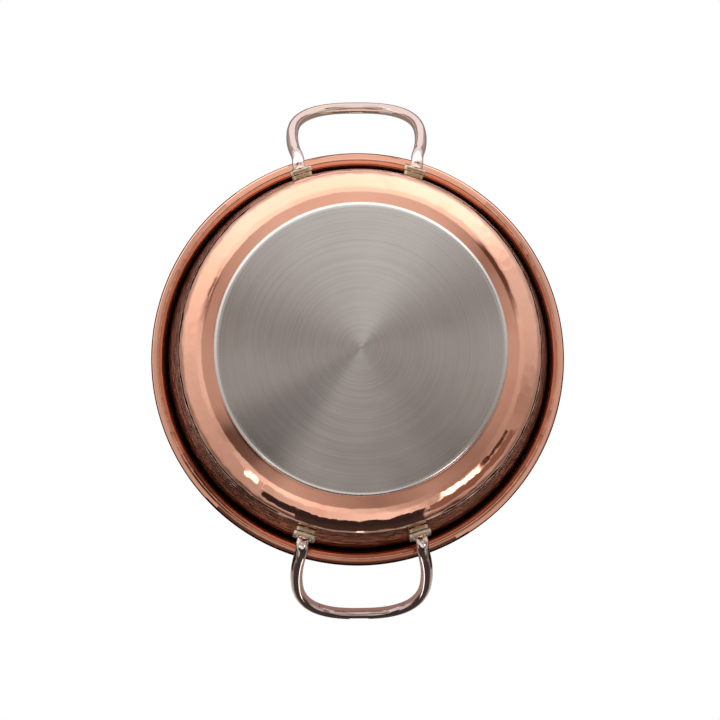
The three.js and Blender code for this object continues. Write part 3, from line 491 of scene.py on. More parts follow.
def satin(name, dark, light, rough=(0.25, 0.36), grain=(1, 1, 1), grit=0.000002, aniso=0.0):
    """Plain metal with a fine grain. The grain's three numbers stretch it along the axes."""
    f = Finish(name)
    here = f.place()
    threads = f.noise(f.place(scale=[g * 900 for g in grain]), 1, 3, 0.65)
    cloud = f.noise(here, 35, 3, 0.5)
    colour = f.mixed(f.ranged(cloud, 0.3, 0.7), dark, light)
    brighter = [min(1, c * 1.12) for c in light]
    brushed = f.mixed(f.ranged(threads, 0.35, 0.8) * 0.3, colour, brighter)
    roughness = f.ranged(threads * 0.6 + cloud * 0.4, 0.3, 0.7, *rough)
    return f.principled(
        Base_Color=brushed, Metallic=1.0, Roughness=roughness, Anisotropic=aniso,
        Normal=f.bump(threads, grit),
    )


def polished_rod(name):
    """Bright drawn rod with a faint straw and rose tint and a few handling scratches."""
    f = Finish(name)
    here = f.place()
    tint = f.noise(here, 24, 2, 0.5, 0.8)
    colour = f.ramp(
        tint, (0.25, (0.86, 0.72, 0.66)), (0.5, (0.86, 0.7, 0.67)), (0.72, (0.87, 0.74, 0.6))
    )
    scratches = f.noise(f.place(scale=(300, 300, 2200)), 1, 2, 0.7)
    rough = f.ranged(f.noise(here, 120, 2), 0.3, 0.7, 0.06, 0.14)
    return f.principled(
        Base_Color=colour, Metallic=1.0, Roughness=rough, Normal=f.bump(scratches, 0.0000012)
    )


def moulded(name, colour, lighter, rough=(0.42, 0.55), grain=0.00001):
    """Moulded plastic with a fine spark-eroded grain."""
    f = Finish(name)
    here = f.place()
    speck = f.noise(here, 1800, 2, 0.6)
    cloud = f.noise(here, 40, 2, 0.5)
    tone = f.mixed(f.ranged(speck * 0.5 + cloud * 0.5, 0.4, 0.62), colour, lighter)
    roughness = f.ranged(cloud, 0.35, 0.65, *rough)
    return f.principled(Base_Color=tone, Roughness=roughness, Normal=f.bump(speck, grain))


def beech_wood(name):
    """Steamed beech along X: pale, with short darker flecks and soft growth rings."""
    f = Finish(name)
    rings = f.noise(f.place(scale=(12, 160, 160)), 1, 3, 0.6, 0.4)
    flecks = f.noise(f.place(scale=(260, 2600, 1400)), 1, 2, 0.6)
    base = f.ramp(
        rings, (0.3, (0.50, 0.29, 0.15)), (0.55, (0.62, 0.39, 0.21)), (0.75, (0.56, 0.33, 0.17))
    )
    fleck = f.ranged(flecks, 0.62, 0.72)
    colour = f.mixed(fleck * 0.6, base, (0.3, 0.15, 0.07))
    rough = f.ranged(rings, 0.3, 0.7, 0.5, 0.65)
    return f.principled(
        Base_Color=colour, Roughness=rough, Normal=f.bump(flecks + rings * 0.4, 0.00002)
    )


def wound_coil(name):
    """Enamelled copper wire, seen as tight turns round the motor."""
    coil_middle = 0.178
    f = Finish(name)
    _, angle, z = polar(f, f.place(centre=(0, 0, coil_middle)))
    turn = f.math("SINE", angle * 150 + z * 900)
    # Painted shade and highlight: each turn is coloured darker between the wires and lighter on its
    # crest.
    shade = f.ranged(turn, -1, 1)
    colour = f.mixed(shade, (0.28, 0.09, 0.03), (0.62, 0.26, 0.1))
    rough = f.ranged(f.noise(f.place(), 300), 0.3, 0.7, 0.3, 0.4)
    return f.principled(
        Base_Color=colour, Metallic=0.8, Roughness=rough, Normal=f.bump(shade, 0.0001)
    )


COPPER = (hammered_copper("hammered_copper"), "copper")
RIVET_COPPER = (hammered_copper("rivet_copper", dent=0.00001), "copper")
STEEL = (brushed_disc("ring_ground_steel"), "steel")
BRIGHT_STEEL = (
    satin("polished_steel_edge", (0.62, 0.6, 0.57), (0.7, 0.68, 0.65), (0.24, 0.32)), "steel"
)
STAINLESS = (
    satin("satin_stainless", (0.55, 0.55, 0.54), (0.64, 0.64, 0.63), grain=(0.04, 1, 1), aniso=0.5),
    "stainless",
)
POLISHED = (polished_rod("polished_rod"), "polished")
PAD_STEEL = (satin("satin_pad", (0.6, 0.53, 0.39), (0.7, 0.62, 0.47), (0.22, 0.34)), "polished")
ZINC = (satin("zinc_plate", (0.42, 0.43, 0.43), (0.55, 0.56, 0.56), (0.35, 0.5)), "zinc")
ALUMINIUM = (
    satin("plain_aluminium", (0.6, 0.6, 0.61), (0.7, 0.7, 0.71), (0.35, 0.45)), "aluminium"
)
BRASS = (satin("turned_brass", (0.55, 0.42, 0.2), (0.68, 0.53, 0.28), (0.22, 0.34)), "brass")
SPACER_BRASS = (
    satin("dull_spacer_brass", (0.56, 0.47, 0.3), (0.67, 0.58, 0.4), (0.34, 0.48)), "brass"
)
BRONZE = (satin("sintered_bronze", (0.38, 0.22, 0.11), (0.5, 0.31, 0.16), (0.4, 0.5)), "bronze")
BLACK_PLASTIC = (
    moulded("black_housing", (0.014, 0.014, 0.015), (0.026, 0.026, 0.028)), "black_plastic"
)
RED_PLASTIC = (
    moulded("red_rocker", (0.5, 0.016, 0.012), (0.58, 0.025, 0.018), (0.18, 0.26), 0.000003),
    "red_plastic",
)
NYLON = (moulded("natural_nylon", (0.72, 0.69, 0.58), (0.8, 0.77, 0.67), (0.4, 0.5)), "nylon")
SILICONE = (
    moulded("grey_silicone", (0.04, 0.04, 0.042), (0.06, 0.06, 0.063), (0.6, 0.72)), "silicone"
)
BEECH = (beech_wood("steamed_beech"), "beech")
WINDING = (wound_coil("motor_winding"), "winding")

SLOT_FINISHES = {
    slot: material
    for material, slot in (
        COPPER, STEEL, STAINLESS, POLISHED, ZINC, ALUMINIUM, BRASS, BRONZE, BLACK_PLASTIC,
        RED_PLASTIC, NYLON, SILICONE, BEECH, WINDING,
    )
}


def dress_cad_nodes():
    """Every CAD node gets its slot's finish. Those that a piece replaces don't show it."""
    for part in frame["record"]["subparts"]:
        mesh = frame["nodes"][part["node"]].data
        mesh.materials.clear()
        mesh.materials.append(SLOT_FINISHES[part["material_slot"]])


# The pot


def hammered(bm):
    """Sinks shallow marks into the wall and the corner, in rows round the pot."""
    bm.normal_update()
    girth = MARKS_ROUND / (2 * math.pi)
    for vert in bm.verts:
        radius = math.hypot(vert.co.x, vert.co.y)
        inside = min(1, max(0, (radius - MARKS_START) / (MARKS_FULL - MARKS_START)))
        below = min(1, max(0, (MARKS_END - vert.co.z) / (MARKS_END - MARKS_FADE)))
        if inside * below:
            turn = Vector((vert.co.x, vert.co.y, 0)) * girth / radius
            nearest = noise.voronoi(turn + UP * (radius + vert.co.z) / MARK_ROW)[0][0]
            sink = MARK_DEPTH * inside * below * max(0, 0.5 - nearest ** 2)
            vert.co -= vert.normal * sink
    return bm


def copper_shell():
    """Drawn along its outside and hammered, then given its sheet thickness inwards."""
    pen = Pen(0, SHELL_UNDERSIDE)
    for share in (0.25, 0.5, 0.75, 1):
        pen.to(FLOOR_RADIUS * share, SHELL_UNDERSIDE)
    pen.bend(CORNER_RADIUS, math.pi / 2, WALL_LEAN, 24)
    wall_steps = 64
    length = (WALL_TOP - CORNER_TOP[1]) / math.cos(WALL_LEAN)
    for _ in range(wall_steps):
        pen.ahead(length / wall_steps, WALL_LEAN)
    pen.bend(LIP_BEND - SHEET / 2, WALL_LEAN, LIP_LEAN, 6)
    pen.ahead(LIP_FLAT, LIP_LEAN)
    pen.bend(CURL_RADIUS - SHEET / 2, LIP_LEAN, CURL_END, 18)
    bm = hammered(faced_down(pen.turned(400)))
    bmesh.ops.solidify(bm, geom=bm.faces[:], thickness=SHEET)
    piece("copper_bowl", bm, COPPER, "pot", "copper_shell", smooth=60)


def rim_wire():
    """The wire that the rim is rolled over."""
    reach = box_mm("copper_shell")[1].x - SHEET / 2 - CURL_RADIUS
    height = POT_HEIGHT - SHEET / 2 - CURL_RADIUS
    pen = Pen(reach + WIRE_RADIUS, height).arc(reach, height, 2 * math.pi, 20)
    piece("rolled_in_wire", pen.turned(160), ZINC, "pot", "rim_wire")


def base_cap():
    """The induction base's steel cap: its ring-ground face and its polished, rounded edge."""
    high = box_mm("base_cap")[1].z
    flat = BASE_RADIUS - BASE_EDGE
    face = Pen(0, 0)
    for share in (0.3, 0.6, 0.85, 1):
        face.to(flat * share, 0)
    face.to(flat, CAP_SHEET).to(0, CAP_SHEET)
    piece("induction_base_face", face.turned(240), STEEL, "pot", "base_cap", smooth=50)
    edge = Pen(flat, 0).bend(BASE_EDGE, math.pi / 2, 0, 10)
    edge.to(BASE_RADIUS, high)
    edge = faced_down(edge.turned(240))
    bmesh.ops.solidify(edge, geom=edge.faces[:], thickness=CAP_SHEET)
    piece("induction_base_edge", edge, BRIGHT_STEEL, "pot", "base_cap", smooth=50)


# Handles


def foot_frame(side, hand):
    """Where a foot stands: X round the pot, Y up the wall, Z out of it. Side is -1 at the front."""
    angle = side * math.pi / 2 - side * hand * FOOT_ANGLE
    radial = Vector((math.cos(angle), math.sin(angle), 0))
    out = radial * math.cos(WALL_LEAN) - UP * math.sin(WALL_LEAN)
    up = radial * math.sin(WALL_LEAN) + UP * math.cos(WALL_LEAN)
    along = up.cross(out)
    depth = wall_radius(FOOT_HEIGHT) * math.cos(math.pi / POT_FACETS)
    centre = radial * depth + UP * FOOT_HEIGHT
    matrix = Matrix((along, up, out)).transposed().to_4x4()
    matrix.translation = centre
    return matrix


def handle_points(side):
    """Points on the rod's middle line, from one pad over the grip to the other."""
    foot = foot_frame(side, 1)
    in_pad = foot @ Vector((0, 0, NECK_FOOT))
    off_pad = foot @ Vector((0, 0, PAD_FACE + FLARE_LENGTH * 0.6))
    turn = foot @ Vector((0, 0, PAD_FACE + FLARE_LENGTH))
    stand = side * (LEG_STAND - FLARE_LENGTH) * 0.5
    start = Vector((abs(turn.x), turn.y + stand, turn.z + ROD_RADIUS))
    rise = Vector((0, side * GRIP_REACH - start.y, GRIP_HEIGHT - start.z))
    half = [Vector((abs(p.x), p.y, p.z)) for p in (in_pad, off_pad)]
    for share in LEG_SHARES:
        x = start.x + (GRIP_HALF_WIDTH - start.x) * math.sin(share * math.pi / 2)
        half.append(Vector((x, start.y, start.z)) + rise * SHOULDER_SHARE * share)
    power = 2 / LOOP_SQUARENESS
    for i in range(HANDLE_POINTS + 1):
        a = math.pi / 2 * i / HANDLE_POINTS
        share = SHOULDER_SHARE + (1 - SHOULDER_SHARE) * math.sin(a) ** power
        x = GRIP_HALF_WIDTH * max(0, math.cos(a)) ** power
        half.append(Vector((x, start.y, start.z)) + rise * share)
    mirrored = [Vector((-p.x, p.y, p.z)) for p in reversed(half[:-1])]
    return half + mirrored


def rod_along(points):
    """A round rod through the points, as a bmesh."""
    curve = bpy.data.curves.new("rod", "CURVE")
    curve.dimensions = "3D"
    curve.bevel_depth = ROD_RADIUS
    curve.bevel_resolution = 8
    curve.resolution_u = 8
    spline = curve.splines.new("BEZIER")
    spline.bezier_points.add(len(points) - 1)
    for bend, point in zip(spline.bezier_points, points):
        bend.co = point
        bend.handle_left_type = bend.handle_right_type = "AUTO"
    carrier = bpy.data.objects.new("rod", curve)
    bpy.context.scene.collection.objects.link(carrier)
    bpy.context.view_layer.update()
    mesh = bpy.data.meshes.new_from_object(carrier)
    bm = bmesh.new()
    bm.from_mesh(mesh)
    bpy.data.objects.remove(carrier)
    bpy.data.curves.remove(curve)
    bpy.data.meshes.remove(mesh)
    return bm


def flared_neck():
    """The neck that widens out of the rod to its pad, in the foot's frame."""
    neck = Pen(0, NECK_FOOT)
    neck.to(FLARE_RADIUS, NECK_FOOT).to(FLARE_RADIUS, PAD_FACE + 0.2)
    reach = FLARE_RADIUS - ROD_RADIUS
    neck.bend(reach, -math.pi / 2, 0, 6)
    neck.to(ROD_RADIUS, PAD_FACE + FLARE_LENGTH).to(0, PAD_FACE + FLARE_LENGTH)
    return neck.turned(32)


def rivet():
    """A copper rivet with a domed head outside and a flat one inside, in the foot's frame."""
    inside = -SHEET - SEAT_GAP
    outside = PAD_FACE + SEAT_GAP
    pen = Pen(0, inside - RIVET_INNER_HEIGHT)
    pen.to(RIVET_INNER_HEAD * 0.6, inside - RIVET_INNER_HEIGHT)
    pen.to(RIVET_INNER_HEAD * 0.92, inside - RIVET_INNER_HEIGHT * 0.7)
    pen.to(RIVET_INNER_HEAD, inside - RIVET_INNER_HEIGHT * 0.3).to(RIVET_INNER_HEAD, inside)
    pen.to(RIVET_SHANK, inside).to(RIVET_SHANK, outside).to(RIVET_HEAD, outside)
    shoulder = RIVET_HEAD_HEIGHT * 0.2
    pen.to(RIVET_HEAD, outside + shoulder)
    dome = RIVET_HEAD_HEIGHT - shoulder
    radius = (RIVET_HEAD ** 2 + dome ** 2) / (2 * dome)
    sweep = math.asin(RIVET_HEAD / radius)
    pen.arc(0, outside + RIVET_HEAD_HEIGHT - radius, -sweep, 8)
    return pen.turned(24)


def handles():
    """Each handle has a rod and two feet, and each foot a pad, a spacer and two rivets."""
    for side_name, side in (("front", -1), ("rear", 1)):
        parts = [rod_along(handle_points(side))]
        for hand_name, hand in (("left", -1), ("right", 1)):
            foot = foot_frame(side, hand)
            parts.append(placed(flared_neck(), foot))
            pad = plate(PAD_WIDTH, PAD_LENGTH, PAD_FOOT, PAD_FACE, PAD_CORNER, PAD_EDGE)
            piece(
                f"{side_name}_{hand_name}_foot_pad", placed(pad, foot), PAD_STEEL, "pot",
                f"{side_name}_handle",
            )
            spacer = plate(
                SPACER_WIDTH, SPACER_LENGTH, SPACER_GAP, SPACER_THICKNESS, PAD_CORNER, SPACER_EDGE
            )
            piece(
                f"{side_name}_{hand_name}_foot_spacer", placed(spacer, foot), SPACER_BRASS, "pot",
                f"{side_name}_{hand_name}_spacer",
            )
            for row_name, row in (("upper", 1), ("lower", -1)):
                made = placed(moved(rivet(), 0, row * RIVET_SPACING / 2, 0), foot)
                piece(
                    f"{side_name}_{hand_name}_{row_name}_copper_rivet", made, RIVET_COPPER, "pot",
                    f"{side_name}_{hand_name}_{row_name}_rivet",
                )
        piece(f"{side_name}_rod_handle", joined(*parts), POLISHED, "pot", f"{side_name}_handle")


# The stirring drive


def softened(node, name, finish, body, width, segments, least=35, smooth=40):
    """A copy of a boxy CAD node with its sharp edges rounded."""
    bm = copy_of(node)
    rounded(bm, sharp_edges(bm, least), width, segments)
    piece(name, bm, finish, body, node, smooth=smooth)


def clamp_boss(hand_name):
    """A brass boss with a bore and softened rims."""
    low, high = box_mm(f"{hand_name}_clamp_boss")
    x = (low.x + high.x) / 2
    radius = (high.y - low.y) / 2
    bore, edge = 3.3, 0.6
    pen = Pen(bore, low.z)
    pen.to(radius, low.z).to(radius, high.z - edge)
    pen.bend(edge, 0, -math.pi / 2, 4)
    pen.to(bore + edge, high.z).to(bore, high.z - edge).close()
    piece(
        f"{hand_name}_threaded_boss", moved(pen.turned(40), x, 0, 0), BRASS, "drive",
        f"{hand_name}_clamp_boss",
    )


def thumbscrew(hand_name):
    """A ribbed knob with a dished top, on its plain shank."""
    low, high = box_mm(f"{hand_name}_thumbscrew")
    x = (low.x + high.x) / 2
    radius = (high.x - low.x) / 2
    foot = box_mm(f"{hand_name}_clamp_boss")[1].z + SEAT_GAP
    ribs, rib_depth = 18, 0.9
    dish_radius, dish_depth, dish_taper = 7.4, 1.4, 0.86
    shank_radius, shank_tip = 3, 0.5
    bm = bmesh.new()
    bmesh.ops.create_circle(bm, cap_ends=True, radius=radius, segments=ribs * 4)
    bm.verts.ensure_lookup_table()
    valleys = [v for i, v in enumerate(bm.verts) if i % 4 > 1]
    sunk = 1 - rib_depth / radius
    bmesh.ops.scale(bm, vec=(sunk, sunk, 1), verts=valleys)
    bmesh.ops.translate(bm, vec=(0, 0, foot), verts=bm.verts)
    made = bmesh.ops.extrude_face_region(bm, geom=bm.faces[:])
    top = [g for g in made["geom"] if isinstance(g, bmesh.types.BMVert)]
    bmesh.ops.translate(bm, vec=(0, 0, high.z - foot), verts=top)
    bmesh.ops.recalc_face_normals(bm, faces=bm.faces)
    rounded(bm, level_edges(bm, foot) + level_edges(bm, high.z), 0.5, 3)
    crown = max(bm.faces, key=lambda face: face.calc_center_median().z)
    bmesh.ops.delete(bm, geom=[crown], context="FACES_ONLY")
    ribbed = [e for e in bm.edges if e.is_boundary]
    made = bmesh.ops.create_circle(bm, radius=dish_radius, segments=ribs * 4)
    bmesh.ops.translate(bm, vec=(0, 0, high.z), verts=made["verts"])
    dish = list({e for v in made["verts"] for e in v.link_edges})
    bmesh.ops.bridge_loops(bm, edges=ribbed + dish)
    made = bmesh.ops.extrude_edge_only(bm, edges=dish)
    bottom = [g for g in made["geom"] if isinstance(g, bmesh.types.BMVert)]
    bmesh.ops.translate(bm, vec=(0, 0, -dish_depth), verts=bottom)
    bmesh.ops.scale(bm, vec=(dish_taper, dish_taper, 1), verts=bottom)
    bmesh.ops.contextual_create(bm, geom=[e for e in bm.edges if e.is_boundary])
    bmesh.ops.recalc_face_normals(bm, faces=bm.faces)
    shank = Pen(0, low.z)
    shank.to(shank_radius - shank_tip, low.z).to(shank_radius, low.z + shank_tip)
    shank.to(shank_radius, foot + 1).to(0, foot + 1)
    whole = joined(bm, shank.turned(24))
    piece(
        f"{hand_name}_ribbed_thumbscrew", moved(whole, x, 0, 0), BRASS, f"{hand_name}_clamp",
        f"{hand_name}_thumbscrew", smooth=30,
    )


def housing_cover():
    """The cover with its vents, switch opening and inlet opening cut through the moulded wall."""
    low, high = box_mm("housing_cover")
    wall, corner, edge = 2.5, 12, 5
    bm = block(low.x, high.x, low.y, high.y, low.z, high.z)
    rounded(bm, upright_edges(bm), corner, 12)
    rounded(bm, level_edges(bm, high.z), edge, 6)
    floor = [f for f in bm.faces if f.normal.z < -0.9]
    bmesh.ops.delete(bm, geom=floor, context="FACES")
    vent_pitch, vent_half, vent_height = 6, 1.3, 15
    inlet_rim, switch_rim = 1.2 - SEAT_GAP, 1.5 - SEAT_GAP
    vent_low = box_mm("gear_plate")[1].z
    vents = [
        (i * vent_pitch - vent_half, i * vent_pitch + vent_half, vent_low, vent_low + vent_height)
        for i in range(-3, 4)
    ]
    inlet_low, inlet_high = box_mm("mains_inlet")
    inlet = (
        inlet_low.x + inlet_rim, inlet_high.x - inlet_rim, inlet_low.z + inlet_rim,
        inlet_high.z - inlet_rim,
    )
    across = (1, 0, 0)
    for x0, x1, z0, z1 in [*vents, inlet]:
        scored(bm, (((x0, 0, 0), across), ((x1, 0, 0), across), ((0, 0, z0), UP), ((0, 0, z1), UP)))
    switch_low, switch_high = box_mm("switch_body")
    sx0, sx1 = switch_low.x + switch_rim, switch_high.x - switch_rim
    sy0, sy1 = switch_low.y + switch_rim, switch_high.y - switch_rim
    scored(bm, (((sx0, 0, 0), across), ((sx1, 0, 0), across)))
    scored(bm, (((0, sy0, 0), (0, 1, 0)), ((0, sy1, 0), (0, 1, 0))))

    def open_here(face):
        c = face.calc_center_median()
        if abs(face.normal.y) > 0.99:
            if any(x0 < c.x < x1 and z0 < c.z < z1 for x0, x1, z0, z1 in vents):
                return True
            x0, x1, z0, z1 = inlet
            return face.normal.y > 0 and x0 < c.x < x1 and z0 < c.z < z1
        return face.normal.z > 0.99 and sx0 < c.x < sx1 and sy0 < c.y < sy1

    bmesh.ops.delete(bm, geom=[f for f in bm.faces if open_here(f)], context="FACES")
    bmesh.ops.recalc_face_normals(bm, faces=bm.faces)
    bmesh.ops.solidify(bm, geom=bm.faces[:], thickness=wall)
    rounded(bm, sharp_edges(bm, 70), 0.35, 2)
    piece("drive_cover", bm, BLACK_PLASTIC, "drive", "housing_cover", smooth=35)


def pan_screw(node, name, head_height):
    """A pan-head screw with its head below."""
    low, high = box_mm(node)
    x, y = (low.x + high.x) / 2, (low.y + high.y) / 2
    head = (high.x - low.x) / 2
    shank = head * 0.5
    seat = low.z + head_height
    pen = Pen(0, low.z)
    pen.to(shank, low.z + 0.05).to(head * 0.85, low.z + head_height * 0.3)
    pen.to(head, low.z + head_height * 0.75).to(head, seat).to(shank, seat)
    pen.to(shank, high.z).to(0, high.z)
    piece(name, moved(pen.turned(28), x, y, 0), ZINC, "drive", node)


def drive():
    """The drive's outer pieces. Its motor, gears and wiring show as the CAD nodes."""
    softened("crossbar", "folded_crossbar", STAINLESS, "drive", 0.5, 3, least=60)
    for hand_name in ("left", "right"):
        slider = f"{hand_name}_slider"
        softened(f"{hand_name}_arm", f"{hand_name}_rim_arm", STAINLESS, slider, 0.5, 3)
        softened(f"{hand_name}_wall_pad", f"{hand_name}_grip_pad", SILICONE, slider, 0.6, 3)
        clamp_boss(hand_name)
        thumbscrew(hand_name)
    housing_cover()
    softened("housing_base", "drive_tray", BLACK_PLASTIC, "drive", 0.35, 2, least=60)
    softened("switch_body", "switch_frame", BLACK_PLASTIC, "drive", 0.25, 2)
    softened("switch_rocker", "rocker", RED_PLASTIC, "rocker", 0.35, 3, least=50)
    softened("mains_inlet", "inlet_frame", BLACK_PLASTIC, "drive", 0.2, 2, least=60)
    for i in range(1, 5):
        pan_screw(f"housing_screw_{i}", f"housing_pan_screw_{i}", 1.8)
    for i in (1, 2):
        pan_screw(f"crossbar_screw_{i}", f"crossbar_pan_screw_{i}", 1.6)


# The paddle


def paddle():
    """The blade with its beech scrapers, the spindle on it and the pin across the shaft."""
    softened("paddle_blade", "anchor_blade", STAINLESS, "stirrer", 0.4, 2, least=60, smooth=35)
    for hand_name in ("left", "right"):
        softened(
            f"{hand_name}_scraper", f"{hand_name}_beech_scraper", BEECH, "stirrer", 0.4, 3, least=20
        )
    hub_high = box_mm("paddle_hub")[1]
    radius = hub_high.y
    stem, toe, edge = 4, 0.6, 0.8
    stem_foot = box_mm("paddle_blade")[0].z + 7
    shaft_low, shaft_high = box_mm("output_shaft")
    bore = shaft_high.x + SEAT_GAP
    base = shaft_low.z - SEAT_GAP - 2
    pen = Pen(0, stem_foot)
    pen.to(stem - toe, stem_foot).to(stem, stem_foot + toe).to(stem, base - radius)
    pen.to(4.6, base - radius * 0.72).to(6.2, base - radius * 0.2).to(radius, base + 0.4)
    pen.to(radius, hub_high.z - edge)
    pen.bend(edge, 0, -math.pi / 2, 4)
    pen.to(bore, hub_high.z).to(bore, base + 2).to(0, base + 2)
    piece("paddle_spindle", pen.turned(48), STAINLESS, "stirrer", "paddle_hub")
    pin_low, pin_high = box_mm("cross_pin")
    half = pin_high.y
    pin_radius = pin_high.x
    chamfer = 0.35
    pin = Pen(0, -half)
    pin.to(pin_radius - chamfer, -half).to(pin_radius, -half + chamfer)
    pin.to(pin_radius, half - chamfer).to(pin_radius - chamfer, half).to(0, half)
    middle = Matrix.Translation((0, 0, (pin_low.z + pin_high.z) / 2))
    lie = middle @ Matrix.Rotation(math.pi / 2, 4, "X")
    piece("paddle_cross_pin", placed(pin.turned(24), lie), STAINLESS, "stirrer", "cross_pin")


# Camera, lights and floor

FOCAL_MM = 65.75
SENSOR_MM = 36
CAMERA_DISTANCE = 0.9
RIM_CENTRE = Vector((0, 0, 0.14))
OFF_AXIS = Vector((-0.00138815, -0.00108555, 0))
ROLL, SIDE_TILT, UP_TILT = -0.0118943, -0.0152220, 0.0419620
TENT_RADIUS = 1.55
TENT_LOW = -1.3
TENT_HIGH = 2.6
FLOOR_HALF = 30
FLOOR_DROP = 0.0005
CARD_DARK = (0.014, 0.01, 0.009)
CARD_PINK = (0.34, 0.22, 0.2)
CARD_RIM = (0.64, 0.58, 0.56)


def camera():
    """Looks up at the base. The three angles and the offset were fitted to the photo's circles."""
    roll = Matrix.Rotation(ROLL, 3, "Z")
    turn = Matrix.Rotation(-UP_TILT, 3, "X") @ Matrix.Rotation(SIDE_TILT, 3, "Y") @ roll
    data = bpy.data.cameras.new("camera")
    data.lens = FOCAL_MM
    data.sensor_width = SENSOR_MM
    obj = bpy.data.objects.new("camera", data)
    right, down, away = (Vector(row) for row in turn)
    place = RIM_CENTRE + turn.transposed() @ (-OFF_AXIS - Vector((0, 0, CAMERA_DISTANCE)))
    stand = Matrix((right, -down, -away)).transposed().to_4x4()
    obj.matrix_world = Matrix.Translation(place) @ stand
    bpy.context.scene.collection.objects.link(obj)
    bpy.context.scene.camera = obj


def staged(name, bm, material):
    """A sheet of the studio, in metres."""
    mesh = bpy.data.meshes.new(name)
    bm.to_mesh(mesh)
    bm.free()
    mesh.materials.append(material)
    obj = bpy.data.objects.new(name, mesh)
    bpy.context.scene.collection.objects.link(obj)


def floor_sheet():
    """A pale floor for the views from above. From below it can't be seen, and it stops no light."""
    f = Finish("pale_floor")
    here = f.place()
    speck = f.noise(here, 9, 2)
    colour = f.mixed(f.ranged(speck, 0.3, 0.7), (0.86, 0.86, 0.86), (0.88, 0.88, 0.88))
    pale = f.wire("ShaderNodeBsdfDiffuse", {}, {"Color": colour})
    clear = f.wire("ShaderNodeBsdfTransparent")
    path = f.node("ShaderNodeLightPath")
    side = f.node("ShaderNodeNewGeometry")
    seen = Wire(f, path.outputs["Is Camera Ray"]) * (1 - Wire(f, side.outputs["Backfacing"]))
    f.show(f.wire("ShaderNodeMixShader", {}, {0: seen, 1: clear, 2: pale}))
    bm = bmesh.new()
    bmesh.ops.create_grid(bm, x_segments=1, y_segments=1, size=FLOOR_HALF)
    bmesh.ops.translate(bm, vec=(0, 0, -FLOOR_DROP), verts=bm.verts)
    staged("floor", bm, f.material)


def seen_by_gloss(f, glow):
    """A card that only reflections see: it lights nothing and throws no shadow."""
    clear = f.wire("ShaderNodeBsdfTransparent")
    glossy = Wire(f, f.node("ShaderNodeLightPath").outputs["Is Glossy Ray"])
    f.show(f.wire("ShaderNodeMixShader", {}, {0: glossy, 1: clear, 2: glow}))
    return f.material


def band(first, last, start=-180, end=180):
    """A strip round the Z axis between two bearings, from one radius and height to another."""
    bm = bmesh.new()
    foot = bm.verts.new((first[0], 0, first[1]))
    made = bmesh.ops.extrude_vert_indiv(bm, verts=[foot])
    made["verts"][0].co = (last[0], 0, last[1])
    turn = Matrix.Rotation(math.radians(start), 3, "Z")
    bmesh.ops.rotate(bm, cent=(0, 0, 0), matrix=turn, verts=bm.verts)
    bmesh.ops.spin(
        bm, geom=bm.verts[:] + bm.edges[:], cent=(0, 0, 0), axis=UP,
        angle=math.radians(end - start), steps=max(4, int((end - start) / 6)),
        use_merge=end - start == 360,
    )
    return bm


def round_stops(*pairs):
    """Ramp stops at bearings from -180 to 180 degrees. The darker a grey, the browner it turns."""
    stops = []
    for bearing, grey in pairs:
        pale = min(1, grey / 0.45) ** 0.6
        shade = (grey, grey * (0.65 + 0.35 * pale), grey * (0.5 + 0.5 * pale))
        stops.append(((bearing + 180) / 360, shade))
    return stops


